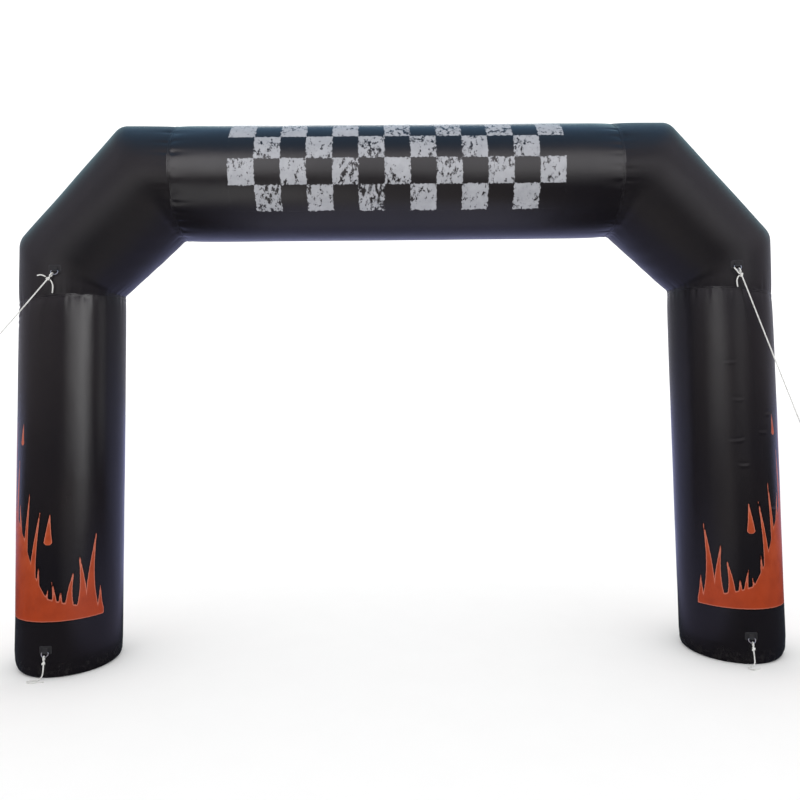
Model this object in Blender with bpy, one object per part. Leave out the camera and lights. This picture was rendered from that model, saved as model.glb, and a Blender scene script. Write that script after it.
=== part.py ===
"""Inflatable arch: two air-filled legs, two corner panels and a beam, with its tie points and white cords.

Metres, +Z up. The walkway runs along Y and the printed front faces -Y.
The origin is on the floor, midway between the legs.
"""
import math

import bpy
import bmesh
from mathutils import Matrix, Vector

# Tubes
LEG_RADIUS = 0.380
BEAM_RADIUS = 0.434
LEG_AXIS_X = 2.5435          # of the leg's axis, where it meets the lower bend
LOW_BEND_HEIGHT = 3.064
LOW_RISE = 0.212             # of the lower bend's outer end over its middle
HIGH_BEND_X = 1.928
BEAM_AXIS_HEIGHT = 3.718
LEG_SPLAY = math.radians(1.52)
BEAM_SEAM_X = 1.666
HIGH_BEND_INNER_X = 1.700    # where the corner panel's short inner side ends

# Seam between leg and corner panel
SEAM_HEIGHT = 2.804
SEAM_TILT = 0.034            # the outer side lies lower, the inner side higher
SEAM_DIP = 0.005             # the seam is drawn down at the front and back
SEAM_GAP = 0.0003
SEAM_PINCH = 0.004
PINCH_FADE = 0.035

# Fabric between the seams
SEGMENTS = 48
PUCKER_DEPTH = 0.0055
PUCKER_FADE = 0.11
PUCKER_WAVES = ((7, 0.34), (11, 0.22), (17, 0.10))
BEND_REACH = 0.055            # of the rounding at the outer and inner side of a bend
FRONT_BEND_REACH = 0.018
BEND_STEPS = (0.0, 0.34, 0.66, 1.0)
STUB_SHARES = (0.0, 0.14, 0.55)
DIAGONAL_SHARES = (0.34, 0.66)

# Rounded hem at the floor, as the height and the inset of its curve
HEM_FRONT = 0.034
HEM_INNER = 0.050
HEM_OUTER = 0.100
HEM_INSET_SHARE = 0.62
HEM_ANGLES = (0.0, 32.0, 62.0, 90.0)

# Rings of a leg: share of the seam's height, swell in metres
LEG_RINGS = (
    (0.070, 0.003),
    (0.144, 0.002),
    (0.300, 0.003),
    (0.500, 0.003),
    (0.700, 0.002),
    (0.850, 0.001),
    (0.940, 0.000),
    (0.985, 0.000),
    (1.000, 0.000),
)

# Rings of the beam: share of the distance from the middle to the seam, swell in metres
BEAM_RINGS = (
    (-1.000, 0.000),
    (-0.975, 0.000),
    (-0.900, 0.001),
    (-0.700, 0.002),
    (-0.350, 0.003),
    (0.000, 0.003),
    (0.350, 0.003),
    (0.700, 0.002),
    (0.900, 0.001),
    (0.975, 0.000),
    (1.000, 0.000),
)

# Tie points
CORD_DIAMETER = 0.009
CORD_STEP = 3.0 * CORD_DIAMETER
TOUCH_GAP = 0.0004
PATCH_WIDTH = 0.090
PATCH_HEIGHT = 0.060
PATCH_THICKNESS = 0.0025
PATCH_STEPS = 8
WEBBING_WIDTH = 0.038
WEBBING_THICKNESS = 0.0022
WEBBING_LENGTH = 0.030
WIRE_RADIUS = 0.003
WIRE_HOLE_RADIUS = 0.0038
RING_HALF_WIDTH = 0.025
RING_SHOULDER = 0.008
RING_TILT = math.radians(24.0)
HITCH_HALF_WIDTH = 0.0088
HITCH_REACH = 0.012
KNOT_LENGTH = 0.032
KNOT_RADIUS = 0.0125
EYE_HALF_WIDTH = 0.016
EYE_REACH = 0.050

# Tie points: name, side, shift towards the walkway, height of the ring's bar, swell, direction of the cord
TIES = (
    ("elbow_left", -1, 0.034, 2.982, 0.0006, (-0.367, -0.130, -0.532)),
    ("elbow_right", 1, 0.036, 2.966, 0.000, (0.300, -0.100, -0.950)),
    ("foot_left", -1, 0.000, 0.196, 0.003, (-0.060, -0.030, -1.000)),
    ("foot_right", 1, 0.036, 0.200, 0.003, (0.080, -0.030, -1.000)),
)

# Short free ends of the elbow knots: name, tie, points from the knot's middle
TAILS = (
    ("tail_left_upper", "elbow_left",
     ((-0.017, -0.006, 0.013), (-0.032, -0.010, 0.021), (-0.052, -0.009, 0.025), (-0.074, -0.004, 0.022))),
    ("tail_left_lower", "elbow_left",
     ((0.018, -0.004, -0.013), (0.026, -0.001, -0.026), (0.028, 0.010, -0.056), (0.020, 0.019, -0.100))),
    ("tail_right_upper", "elbow_right",
     ((-0.019, -0.006, 0.006), (-0.030, -0.009, 0.018), (-0.042, -0.009, 0.034), (-0.054, -0.004, 0.050))),
    ("tail_right_lower", "elbow_right",
     ((-0.020, -0.004, -0.008), (-0.029, -0.002, -0.020), (-0.031, 0.007, -0.045), (-0.022, 0.015, -0.084))),
)

# Far ends of the two taut guy cords
GUY_ENDS = {
    "elbow_left": (-2.925, -0.560, 2.385),
    "elbow_right": (2.935, -0.560, 1.610),
}

# Routes of the two foot ties, from below the knot to the free end on the floor
FOOT_ROUTES = {
    "foot_left": (
        (-2.6262, -0.4081, 0.085),
        (-2.6285, -0.4095, 0.056),
        (-2.635, -0.413, 0.030),
        (-2.651, -0.419, 0.011),
        (-2.676, -0.425, 0.0058),
        (-2.706, -0.426, 0.0058),
        (-2.728, -0.438, 0.0058),
        (-2.719, -0.459, 0.0058),
        (-2.686, -0.462, 0.0058),
        (-2.646, -0.452, 0.0058),
        (-2.606, -0.450, 0.0058),
    ),
    "foot_right": (
        (2.5900, -0.4066, 0.088),
        (2.5922, -0.4085, 0.059),
        (2.591, -0.412, 0.031),
        (2.575, -0.420, 0.011),
        (2.551, -0.429, 0.0058),
        (2.529, -0.443, 0.0058),
        (2.527, -0.465, 0.0058),
        (2.548, -0.477, 0.0058),
        (2.578, -0.468, 0.0058),
        (2.610, -0.452, 0.0058),
    ),
}

# Materials: colour, roughness, metallic
FINISHES = {
    "fabric": ((0.012, 0.012, 0.015), 0.34, 0.0),
    "patch": ((0.010, 0.010, 0.011), 0.55, 0.0),
    "webbing": ((0.015, 0.015, 0.016), 0.80, 0.0),
    "steel": ((0.55, 0.55, 0.56), 0.30, 1.0),
    "cord": ((0.80, 0.80, 0.78), 0.75, 0.0),
}


def clear_scene():
    for item in list(bpy.data.objects):
        bpy.data.objects.remove(item, do_unlink=True)


def finish_material(name, finish):
    """A Principled material of one object."""
    colour, roughness, metallic = FINISHES[finish]
    material = bpy.data.materials.new(name + "_finish")
    material.use_nodes = True
    shader = material.node_tree.nodes["Principled BSDF"]
    shader.inputs["Base Color"].default_value = (*colour, 1.0)
    shader.inputs["Roughness"].default_value = roughness
    shader.inputs["Metallic"].default_value = metallic
    return material


def add_solid(name, points, faces, finish, frame=None):
    """A closed mesh object, its faces turned outwards."""
    mesh = bpy.data.meshes.new(name)
    mesh.from_pydata([tuple(point) for point in points], [], faces)
    solid = bmesh.new()
    solid.from_mesh(mesh)
    bmesh.ops.recalc_face_normals(solid, faces=solid.faces)
    solid.to_mesh(mesh)
    solid.free()
    mesh.shade_smooth()
    mesh.set_sharp_from_angle(angle=math.radians(35.0))
    mesh.materials.append(finish_material(name, finish))
    piece = bpy.data.objects.new(name, mesh)
    bpy.context.collection.objects.link(piece)
    if frame is not None:
        piece.matrix_world = frame
    return piece


def bridge(rings):
    """Points and faces of a skin through equal rings, without its ends."""
    count = len(rings[0])
    points = [point for ring in rings for point in ring]
    faces = []
    for row in range(len(rings) - 1):
        for step in range(count):
            after = (step + 1) % count
            low = row * count
            high = low + count
            faces.append((low + step, low + after, high + after, high + step))
    return points, faces


def skin(rings, fan_low=True, fan_high=True):
    """A closed skin through rings. An end is a fan to its middle, or one flat face."""
    points, faces = bridge(rings)
    count = len(rings[0])
    for fan, start, ring in ((fan_low, 0, rings[0]), (fan_high, len(points) - count, rings[-1])):
        if not fan:
            faces.append(tuple(range(start, start + count)))
            continue
        middle = len(points)
        points.append(sum((Vector(point) for point in ring), Vector()) / count)
        faces += [(start + step, start + (step + 1) % count, middle) for step in range(count)]
    return points, faces


def closed_tube(path, radius, sides):
    """A ring-shaped tube along a closed flat path. The sections stand square to the path."""
    count = len(path)
    normal = (path[count // 3] - path[0]).cross(path[2 * count // 3] - path[0]).normalized()
    rings = []
    for index, point in enumerate(path):
        along = (path[(index + 1) % count] - path[index - 1]).normalized()
        across = along.cross(normal).normalized()
        turns = [math.tau * step / sides for step in range(sides)]
        rings.append([point + radius * (math.cos(turn) * across + math.sin(turn) * normal) for turn in turns])
    points, faces = bridge(rings + [rings[0]])
    total = count * sides
    faces = [tuple(corner % total for corner in face) for face in faces]
    return points[:total], faces


# Outline of the arch in its own plane, as (x, z) of the right half


def mitre(at, before, after, radius):
    """Outer and inner corner where two tubes of one radius meet."""
    first = Vector((before.y, -before.x))
    second = Vector((after.y, -after.x))
    reach = radius * (first + second) / (1.0 + first.dot(second))
    return at + reach, at - reach


LOW_BEND = Vector((LEG_AXIS_X, LOW_BEND_HEIGHT))
HIGH_BEND = Vector((HIGH_BEND_X, BEAM_AXIS_HEIGHT))
DIAGONAL_WAY = (HIGH_BEND - LOW_BEND).normalized()
BEAM_WAY = Vector((-1.0, 0.0))
LOW_HALF = Vector((LEG_RADIUS / math.cos(LEG_SPLAY) - LOW_RISE * math.tan(LEG_SPLAY), LOW_RISE))
LOW_OUTER = LOW_BEND + LOW_HALF
LOW_INNER = LOW_BEND - LOW_HALF
HIGH_OUTER, HIGH_INNER_MITRE = mitre(HIGH_BEND, DIAGONAL_WAY, BEAM_WAY, BEAM_RADIUS)
HIGH_INNER = Vector((HIGH_BEND_INNER_X, HIGH_INNER_MITRE.y))


def leg_axis_x(height):
    return LEG_AXIS_X + (LOW_BEND_HEIGHT - height) * math.tan(LEG_SPLAY)


def seam_height(turn):
    """Height of the seam on a leg. The turn is 0 at the front and a quarter at the outer side."""
    return SEAM_HEIGHT - SEAM_TILT * math.sin(turn) - SEAM_DIP * math.cos(turn) ** 2


def pucker(turn, distance, seed):
    """Depth of the small folds that run out from a seam. They leave the front line, where patches sit, alone."""
    wave = 0.5
    for number, (waves, share) in enumerate(PUCKER_WAVES):
        wave += share * math.sin(waves * turn + 1.7 * seed + 2.3 * number)
    calm = min(1.0, abs(math.remainder(turn, math.tau)) / 0.42)
    folds = PUCKER_DEPTH * max(0.0, wave) * calm ** 2 * math.exp(-distance / PUCKER_FADE)
    return folds + SEAM_PINCH * math.exp(-distance / PINCH_FADE)


def oval(outer, inner, depth, turn, sink=0.0):
    """Point of a section between an outer and an inner corner, sunk from the full form."""
    middle = (outer + inner) / 2.0
    half = (outer - inner) / 2.0
    size = 1.0 - sink / depth
    flat = middle + half * size * math.sin(turn)
    return Vector((flat.x, -depth * size * math.cos(turn), flat.y))


def leg_point(turn, height, sink):
    axis = leg_axis_x(height)
    reach = (LEG_RADIUS - sink) / math.cos(LEG_SPLAY)
    return Vector((axis + reach * math.sin(turn), -(LEG_RADIUS - sink) * math.cos(turn), height))


def beam_point(turn, x, sink):
    reach = BEAM_RADIUS - sink
    return Vector((x, -reach * math.cos(turn), BEAM_AXIS_HEIGHT + reach * math.sin(turn)))


def hem_size(turn):
    """Height of the hem's curve, largest on the outer side."""
    outward = math.sin(turn)
    if outward > 0.0:
        return HEM_FRONT + (HEM_OUTER - HEM_FRONT) * outward ** 1.5
    return HEM_FRONT + (HEM_INNER - HEM_FRONT) * outward ** 2


def turns():
    return [math.tau * step / SEGMENTS for step in range(SEGMENTS)]


def to_side(ring, side):
    return [Vector((side * point.x, point.y, point.z)) for point in ring]


def leg_rings(side):
    rings = []
    for degrees in HEM_ANGLES:
        angle = math.radians(degrees)
        ring = []
        for turn in turns():
            size = hem_size(turn)
            height = size * (1.0 - math.cos(angle))
            ring.append(leg_point(turn, height, HEM_INSET_SHARE * size * (1.0 - math.sin(angle))))
        rings.append(ring)
    for share, swell in LEG_RINGS:
        ring = []
        for turn in turns():
            top = seam_height(turn)
            hem = hem_size(turn)
            height = top * share if share > LEG_RINGS[0][0] else max(top * share, hem + 0.04)
            ring.append(leg_point(turn, height, pucker(turn, top - height, side) - swell))
        rings.append(ring)
    return [to_side(ring, side) for ring in rings]


def rounded_path(corners, reach):
    """Points along a path of four corners whose two bends are rounded off."""
    start, low, high, end = corners
    low_reach = min(reach, 0.45 * (low - start).length)
    high_reach = min(reach, 0.45 * (end - high).length)
    low_from = low + (start - low).normalized() * low_reach
    low_to = low + (high - low).normalized() * low_reach
    high_from = high + (low - high).normalized() * high_reach
    high_to = high + (end - high).normalized() * high_reach
    points = [start.lerp(low_from, share) for share in STUB_SHARES]
    points += [curve_point(low_from, low, low_to, step) for step in BEND_STEPS]
    points += [low_to.lerp(high_from, share) for share in DIAGONAL_SHARES]
    points += [curve_point(high_from, high, high_to, step) for step in BEND_STEPS]
    points += [end.lerp(high_to, share) for share in reversed(STUB_SHARES)]
    return points


def curve_point(first, middle, last, step):
    return first.lerp(middle, step).lerp(middle.lerp(last, step), step)


def elbow_column(turn, sink):
    """One line of a corner panel's skin, from the leg's seam to the beam's, sunk evenly."""
    start = leg_point(turn, seam_height(turn) + SEAM_GAP, sink)
    low = oval(LOW_OUTER, LOW_INNER, LEG_RADIUS, turn, sink)
    high = oval(HIGH_OUTER, HIGH_INNER, BEAM_RADIUS, turn, sink)
    end = beam_point(turn, BEAM_SEAM_X + SEAM_GAP, sink)
    reach = FRONT_BEND_REACH + (BEND_REACH - FRONT_BEND_REACH) * abs(math.sin(turn))
    return rounded_path((start, low, high, end), reach)


def elbow_rings(side):
    """Rings of a corner panel, with the small folds of both its seams."""
    columns = []
    for turn in turns():
        full = elbow_column(turn, 0.0)
        sunk = elbow_column(turn, PUCKER_DEPTH)
        walked = [0.0]
        for first, last in zip(full, full[1:]):
            walked.append(walked[-1] + (last - first).length)
        column = []
        for outer, inner, distance in zip(full, sunk, walked):
            folds = pucker(turn, distance, side) + pucker(turn, walked[-1] - distance, 3 + side)
            column.append(outer.lerp(inner, folds / PUCKER_DEPTH))
        columns.append(column)
    return [to_side([column[row] for column in columns], side) for row in range(len(columns[0]))]


def beam_rings():
    rings = []
    for share, swell in BEAM_RINGS:
        x = share * BEAM_SEAM_X
        side = 1 if share > 0.0 else -1
        away = BEAM_SEAM_X - abs(x)
        rings.append([beam_point(turn, x, pucker(turn, away, 3 + side) - swell) for turn in turns()])
    return rings


def make_tubes():
    for side, word in ((-1, "left"), (1, "right")):
        points, faces = skin(leg_rings(side), fan_low=False)
        add_solid("leg_" + word, points, faces, "fabric")
        points, faces = skin(elbow_rings(side))
        add_solid("elbow_" + word, points, faces, "fabric")
    points, faces = skin(beam_rings())
    add_solid("beam", points, faces, "fabric")


def tie_frame(side, shift, height, swell):
    """Frame of a tie point: X along the leg's skin, Y into the leg, Z up, origin on the skin."""
    azimuth = -side * math.asin(shift / LEG_RADIUS)
    centre = Vector((side * leg_axis_x(height), 0.0, height))
    turn = Matrix.Rotation(azimuth, 4, "Z")
    return Matrix.Translation(centre) @ turn @ Matrix.Translation((0.0, -LEG_RADIUS - swell, 0.0))


def make_patch(name, frame):
    """Rectangle of fabric with cut corners, curved round the leg."""
    sections = []
    for step in range(PATCH_STEPS + 1):
        share = 2.0 * step / PATCH_STEPS - 1.0
        angle = share * PATCH_WIDTH / 2.0 / LEG_RADIUS
        half = PATCH_HEIGHT / 2.0 * (1.0 if abs(share) < 0.9 else 0.74)
        section = []
        for lift, height in ((0.0, -half), (1.0, -half), (1.0, half), (0.0, half)):
            reach = LEG_RADIUS + TOUCH_GAP + lift * PATCH_THICKNESS
            x = reach * math.sin(angle)
            section.append(Vector((x, LEG_RADIUS - reach * math.cos(angle), height + WEBBING_LENGTH / 2.0)))
        sections.append(section)
    points, faces = skin(sections, fan_low=False, fan_high=False)
    add_solid("patch_" + name, points, faces, "patch", frame)


def bar_depth():
    """How far the ring's bar stands off the skin."""
    return 2.0 * TOUCH_GAP + PATCH_THICKNESS + WIRE_HOLE_RADIUS + WEBBING_THICKNESS


def make_webbing(name, frame):
    """A strip folded round the ring's bar, its two ends sewn flat on the patch above."""
    outer = WIRE_HOLE_RADIUS + WEBBING_THICKNESS
    back = -outer
    front = back + 2.0 * WEBBING_THICKNESS
    outline = [(outer * math.cos(math.radians(angle)), outer * math.sin(math.radians(angle))) for angle in (0, 30, 60)]
    outline += [(front, WEBBING_LENGTH), (back, WEBBING_LENGTH)]
    outline += [(outer * math.cos(math.radians(angle)), outer * math.sin(math.radians(angle)))
                for angle in range(180, 360, 30)]
    hole_angles = (0, 30, 60, 90, 130, 180, 210, 240, 270, 300, 330)
    hole = [(WIRE_HOLE_RADIUS * math.cos(math.radians(angle)), WIRE_HOLE_RADIUS * math.sin(math.radians(angle)))
            for angle in hole_angles]
    rings = []
    for side, loop in ((-1, outline), (1, outline), (1, hole), (-1, hole)):
        x = side * WEBBING_WIDTH / 2.0
        rings.append([Vector((x, -bar_depth() - out, up)) for out, up in loop])
    points, faces = bridge(rings + [rings[0]])
    total = 4 * len(outline)
    faces = [tuple(corner % total for corner in face) for face in faces]
    add_solid("webbing_" + name, points[:total], faces, "webbing", frame)


def ring_point(x, down):
    """A point in the plane of the ring, which hangs tilted away from the skin."""
    return Vector((x, -bar_depth() - down * math.sin(RING_TILT), -down * math.cos(RING_TILT)))


def ring_path():
    """The D-ring's wire: a straight bar and a half circle below it."""
    flat = [(-0.016, 0.0), (0.016, 0.0), (RING_HALF_WIDTH - 0.002, 0.002)]
    for degrees in range(0, 181, 20):
        angle = math.radians(degrees)
        flat.append((RING_HALF_WIDTH * math.cos(angle), RING_SHOULDER + RING_HALF_WIDTH * math.sin(angle)))
    flat.append((0.002 - RING_HALF_WIDTH, 0.002))
    return [ring_point(x, down) for x, down in flat]


def pulled_place(way):
    """Where a cord pulled along a way rests on the ring's half circle, and the wire's direction there."""
    down_way = (ring_point(0.0, 1.0) - ring_point(0.0, 0.0)).dot(way)
    angle = math.atan2(way.x, down_way)
    place = ring_point(RING_HALF_WIDTH * math.sin(angle), RING_SHOULDER + RING_HALF_WIDTH * math.cos(angle))
    along = ring_point(math.cos(angle), -math.sin(angle)) - ring_point(0.0, 0.0)
    return place, along


def loop_path(at, way, axle, half_width, reach):
    """A long closed loop round an axle, drawn out along a way."""
    across = way.cross(axle).normalized()
    path = []
    for centre, start in ((at, 90), (at + way * reach, -90)):
        for degrees in range(start, start + 181, 30):
            angle = math.radians(degrees)
            path.append(centre + half_width * (math.cos(angle) * way + math.sin(angle) * across))
    return path


def make_knot(name, start, way):
    """A tight knot as one lump with wound lobes, and a short neck at each end."""
    side = way.orthogonal().normalized()
    other = way.cross(side)
    neck = CORD_DIAMETER / 2.0
    rows = ((0.0, neck), (0.10, 0.8 * KNOT_RADIUS), (0.32, KNOT_RADIUS), (0.68, KNOT_RADIUS),
            (0.90, 0.8 * KNOT_RADIUS), (1.0, neck))
    rings = []
    for share, radius in rows:
        ring = []
        for step in range(10):
            turn = math.tau * step / 10
            lobe = radius * (1.0 + 0.16 * math.sin(math.pi * share) * math.cos(2.0 * turn + 5.0 * share))
            ring.append(start + way * share * KNOT_LENGTH + lobe * (math.cos(turn) * side + math.sin(turn) * other))
        rings.append(ring)
    points, faces = skin(rings, fan_low=False, fan_high=False)
    add_solid(name, points, faces, "cord")


def smooth_route(points, step):
    """Points a step apart on one smooth curve through the route's own points."""
    route = [Vector(point) for point in points]
    ends = [2.0 * route[0] - route[1]] + route + [2.0 * route[-1] - route[-2]]
    fine = []
    for index in range(1, len(ends) - 2):
        before, first, last, after = ends[index - 1:index + 3]
        for part in range(16):
            share = part / 16.0
            pull = (last - before) * 0.5
            leave = (after - first) * 0.5
            cube = share ** 3
            square = share ** 2
            fine.append((2.0 * cube - 3.0 * square + 1.0) * first + (cube - 2.0 * square + share) * pull
                        + (3.0 * square - 2.0 * cube) * last + (cube - square) * leave)
    fine.append(route[-1])
    lengths = [0.0]
    for first, last in zip(fine, fine[1:]):
        lengths.append(lengths[-1] + (last - first).length)
    count = max(2, math.ceil(lengths[-1] / step))
    spaced = []
    place = 0
    for number in range(count + 1):
        target = lengths[-1] * number / count
        while place < len(fine) - 2 and lengths[place + 1] < target:
            place += 1
        span = lengths[place + 1] - lengths[place]
        spaced.append(fine[place].lerp(fine[place + 1], (target - lengths[place]) / span))
    return spaced


def make_cord(name, route, step=CORD_STEP):
    """A round cord along a route, as a bevelled curve with filled ends."""
    points = smooth_route(route, step)
    curve = bpy.data.curves.new(name, "CURVE")
    curve.dimensions = "3D"
    curve.bevel_depth = CORD_DIAMETER / 2.0
    curve.bevel_resolution = 2
    curve.use_fill_caps = True
    spline = curve.splines.new("POLY")
    spline.points.add(len(points) - 1)
    for place, point in zip(spline.points, points):
        place.co = (*point, 1.0)
    curve.materials.append(finish_material(name, "cord"))
    piece = bpy.data.objects.new(name, curve)
    bpy.context.collection.objects.link(piece)


def knot_start(place, way):
    """Where the knot begins, just clear of the loop through the ring."""
    return place + way * (HITCH_REACH + HITCH_HALF_WIDTH + CORD_DIAMETER / 2.0 + TOUCH_GAP)


def make_tie(name, frame, way):
    """Patch, webbing, ring, the cord's loop and its knot."""
    make_patch(name, frame)
    make_webbing(name, frame)
    points, faces = closed_tube(ring_path(), WIRE_RADIUS, 8)
    add_solid("ring_" + name, points, faces, "steel", frame)
    turned = frame.to_3x3()
    place, along = pulled_place(turned.inverted() @ way)
    place = frame @ place
    loop = loop_path(place, way, turned @ along, HITCH_HALF_WIDTH, HITCH_REACH)
    points, faces = closed_tube(loop, CORD_DIAMETER / 2.0, 6)
    add_solid("hitch_" + name, points, faces, "cord")
    start = knot_start(place, way)
    make_knot("knot_" + name, start, way)
    return start


def make_guy(name, start, way, end):
    """A taut cord from the elbow's knot to a knotted eye at its far end."""
    begin = start + way * (KNOT_LENGTH + TOUCH_GAP)
    middle = begin.lerp(end, 0.5) - Vector((0.0, 0.0, 0.003))
    make_cord("guy_" + name, (begin, middle, end))
    along = (end - middle).normalized()
    make_knot("guy_knot_" + name, end + along * TOUCH_GAP, along)
    eye = end + along * (2.0 * TOUCH_GAP + KNOT_LENGTH + CORD_DIAMETER / 2.0 + EYE_HALF_WIDTH)
    loop = loop_path(eye, along, Vector((0.0, 1.0, 0.0)), EYE_HALF_WIDTH, EYE_REACH)
    points, faces = closed_tube(loop, CORD_DIAMETER / 2.0, 6)
    add_solid("guy_eye_" + name, points, faces, "cord")


def make_ties():
    middles = {}
    for name, side, shift, height, swell, direction in TIES:
        way = Vector(direction).normalized()
        start = make_tie(name, tie_frame(side, shift, height, swell), way)
        middles[name] = start + way * KNOT_LENGTH / 2.0
        below = start + way * (KNOT_LENGTH + TOUCH_GAP)
        if name in GUY_ENDS:
            make_guy(name.split("_")[1], start, way, Vector(GUY_ENDS[name]))
        else:
            make_cord("cord_" + name, (below, *FOOT_ROUTES[name]), 0.020)
    for name, tie, points in TAILS:
        make_cord(name, [middles[tie] + Vector(point) for point in points], 0.018)


clear_scene()
make_tubes()
make_ties()
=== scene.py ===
import math

import bpy
import numpy as np
from mathutils import Matrix, Vector


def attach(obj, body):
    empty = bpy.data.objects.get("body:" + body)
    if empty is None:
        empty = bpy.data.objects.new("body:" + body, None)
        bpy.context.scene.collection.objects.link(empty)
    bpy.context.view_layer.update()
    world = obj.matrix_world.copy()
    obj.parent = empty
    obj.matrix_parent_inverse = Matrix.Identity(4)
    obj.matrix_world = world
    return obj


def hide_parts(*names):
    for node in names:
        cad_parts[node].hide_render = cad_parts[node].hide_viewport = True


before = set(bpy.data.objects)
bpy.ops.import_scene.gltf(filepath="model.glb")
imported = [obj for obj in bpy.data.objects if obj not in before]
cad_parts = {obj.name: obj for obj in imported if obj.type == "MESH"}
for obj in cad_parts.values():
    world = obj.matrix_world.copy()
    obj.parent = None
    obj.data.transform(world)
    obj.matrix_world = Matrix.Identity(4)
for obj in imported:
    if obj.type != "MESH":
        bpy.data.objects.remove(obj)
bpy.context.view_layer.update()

BODY = "root"
UV_NAME = "metres"
FLAME_FIELD = "print_depth"

# Camera of the photograph, metres and radians
CAMERA_PLACE = Vector((-0.0775, -5.2996, 2.0238))
CAMERA_LENS = 30.06
CAMERA_SENSOR = 36.0
CAMERA_YAW = 0.015
CAMERA_PITCH = -0.0037
CAMERA_ROLL = -0.0133
CAMERA_REACH = (0.05, 200.0)

# Tubes, as in the part's source
LEG_RADIUS = 0.380
BEAM_RADIUS = 0.434
LEG_AXIS_X = 2.5435
LOW_BEND_HEIGHT = 3.064
LOW_RISE = 0.212
HIGH_BEND_X = 1.928
BEAM_AXIS_HEIGHT = 3.718
LEG_SPLAY = math.radians(1.52)
BEAM_SEAM_X = 1.666
HIGH_BEND_INNER_X = 1.700
SEAM_HEIGHT = 2.804
SEAM_TILT = 0.034
SEAM_DIP = 0.005
SEAM_GAP = 0.0003
SEAM_PINCH = 0.004
PINCH_FADE = 0.035
PUCKER_DEPTH = 0.0055
PUCKER_FADE = 0.11
PUCKER_WAVES = ((7, 0.34), (11, 0.22), (17, 0.10))
BEND_REACH = 0.038
FRONT_BEND_REACH = 0.100
HEM_FRONT = 0.034
HEM_INNER = 0.050
HEM_OUTER = 0.100
HEM_INSET_SHARE = 0.62
HEM_STEPS = 13
BODY_START = 0.14            # height where a leg's rows leave the hem's shape
BODY_START_SWELL = 0.003
CALM_ARC = 0.42              # half width of the smooth strip along the front, in radians

# Swell of the legs and of the beam between their seams: share, metres
LEG_SWELL = ((0.0, 0.003), (0.07, 0.003), (0.144, 0.002), (0.3, 0.003), (0.5, 0.003), (0.7, 0.002),
             (0.85, 0.001), (0.94, 0.0), (1.0, 0.0))
BEAM_SWELL = ((0.0, 0.003), (0.35, 0.003), (0.7, 0.002), (0.9, 0.001), (0.975, 0.0), (1.0, 0.0))

# Fine folds that the solids leave out
COLUMNS = 256
FINE_START = 0.012
FINE_FOLDS = ((29, 0.42), (43, 0.33), (67, 0.25))
FINE_DEPTH = 0.0028
FINE_FADE = 0.050
PLEAT_DEPTH = 0.0075
PLEAT_FADE = 0.060
PLEAT_START = 0.020
LEG_PLEATS = 0.6             # shares of the full depth
ELBOW_PLEATS = (0.4, 0.7)
ELBOW_WAVES = 2.5

# Rows of the skins: steps near a seam (zone, first, full, growth), then the plain ones
LEG_SEAM_STEPS = (0.30, 0.0025, 0.009, 1.18)
BEAM_SEAM_STEPS = (0.40, 0.0025, 0.012, 1.16)
PRINT_ROWS = (0.40, 2.44)
LOW_STEP = 0.0125
PRINT_STEP = 0.0088
HIGH_STEP = 0.0115
BEAM_STEP = 0.0175
BEAM_STEPS_START = 0.405
STUB_ROWS = 26
STUB_GRADE = 1.5
BEND_ROWS = 13
BEND_SHARE = 0.45            # most of a stub that a bend may take
DIAGONAL_ROWS = 62

# Creases pressed into the legs: side, degrees from the front, height, length, width, depth, slope
LEG_CREASES = (
    (-1, 58.0, 2.742, 0.150, 0.012, 0.0036, 0.04),
    (-1, 63.0, 2.700, 0.190, 0.013, 0.0040, -0.03),
    (-1, 55.0, 2.655, 0.140, 0.012, 0.0032, 0.06),
    (-1, 60.0, 2.610, 0.120, 0.012, 0.0022, 0.02),
    (1, -22.0, 2.835, 0.105, 0.010, -0.0016, 0.02),
    (1, -16.0, 2.250, 0.090, 0.010, -0.0015, 0.03),
    (1, -10.0, 1.970, 0.080, 0.010, -0.0014, -0.04),
    (1, -12.0, 1.665, 0.110, 0.010, -0.0018, 0.10),
    (1, 18.0, 1.725, 0.080, 0.010, -0.0016, -0.05),
    (1, 30.0, 1.860, 0.090, 0.010, -0.0018, 0.12),
    (1, -6.0, 1.480, 0.080, 0.010, -0.0020, 0.02),
    (1, 33.0, 1.145, 0.085, 0.010, -0.0018, -0.06),
    (1, -150.0, 2.100, 0.130, 0.014, 0.0016, 0.06),
    (-1, 165.0, 1.400, 0.130, 0.014, 0.0016, -0.05),
)

# Printed flames: foot of the print, its inner edge as an arc from the front line
FLAME_BASE = 0.4145
FLAME_EDGE = -0.405
FLAME_FOLD = 0.600           # arc of the outer side, where the print turns back
# Tongues: arc of the root, half width, height above the foot, lean, sway
TONGUES = (
    (-0.381, 0.038, 0.290, 0.008, 0.004),
    (-0.316, 0.064, 0.725, -0.020, 0.017),
    (-0.236, 0.058, 0.560, 0.018, -0.014),
    (-0.166, 0.052, 0.440, -0.020, 0.014),
    (-0.106, 0.044, 0.285, 0.012, 0.006),
    (-0.052, 0.042, 0.370, 0.020, -0.009),
    (0.000, 0.040, 0.300, -0.014, 0.007),
    (0.048, 0.048, 0.500, 0.020, 0.013),
    (0.104, 0.066, 0.930, -0.052, 0.020),
    (0.170, 0.066, 1.090, -0.020, 0.022),
    (0.238, 0.074, 0.980, 0.024, -0.018),
    (0.306, 0.080, 1.330, -0.022, 0.020),
    (0.368, 0.088, 1.640, -0.016, 0.022),
    (0.440, 0.104, 2.020, 0.024, 0.026),
    (0.516, 0.096, 1.560, -0.012, -0.022),
    (0.585, 0.100, 1.860, 0.012, 0.020),
)
TONGUE_SHARPNESS = 1.05
NARROWEST = 0.0025           # a tip thinner than this is cut off
CUT_OFF = -0.03
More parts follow.
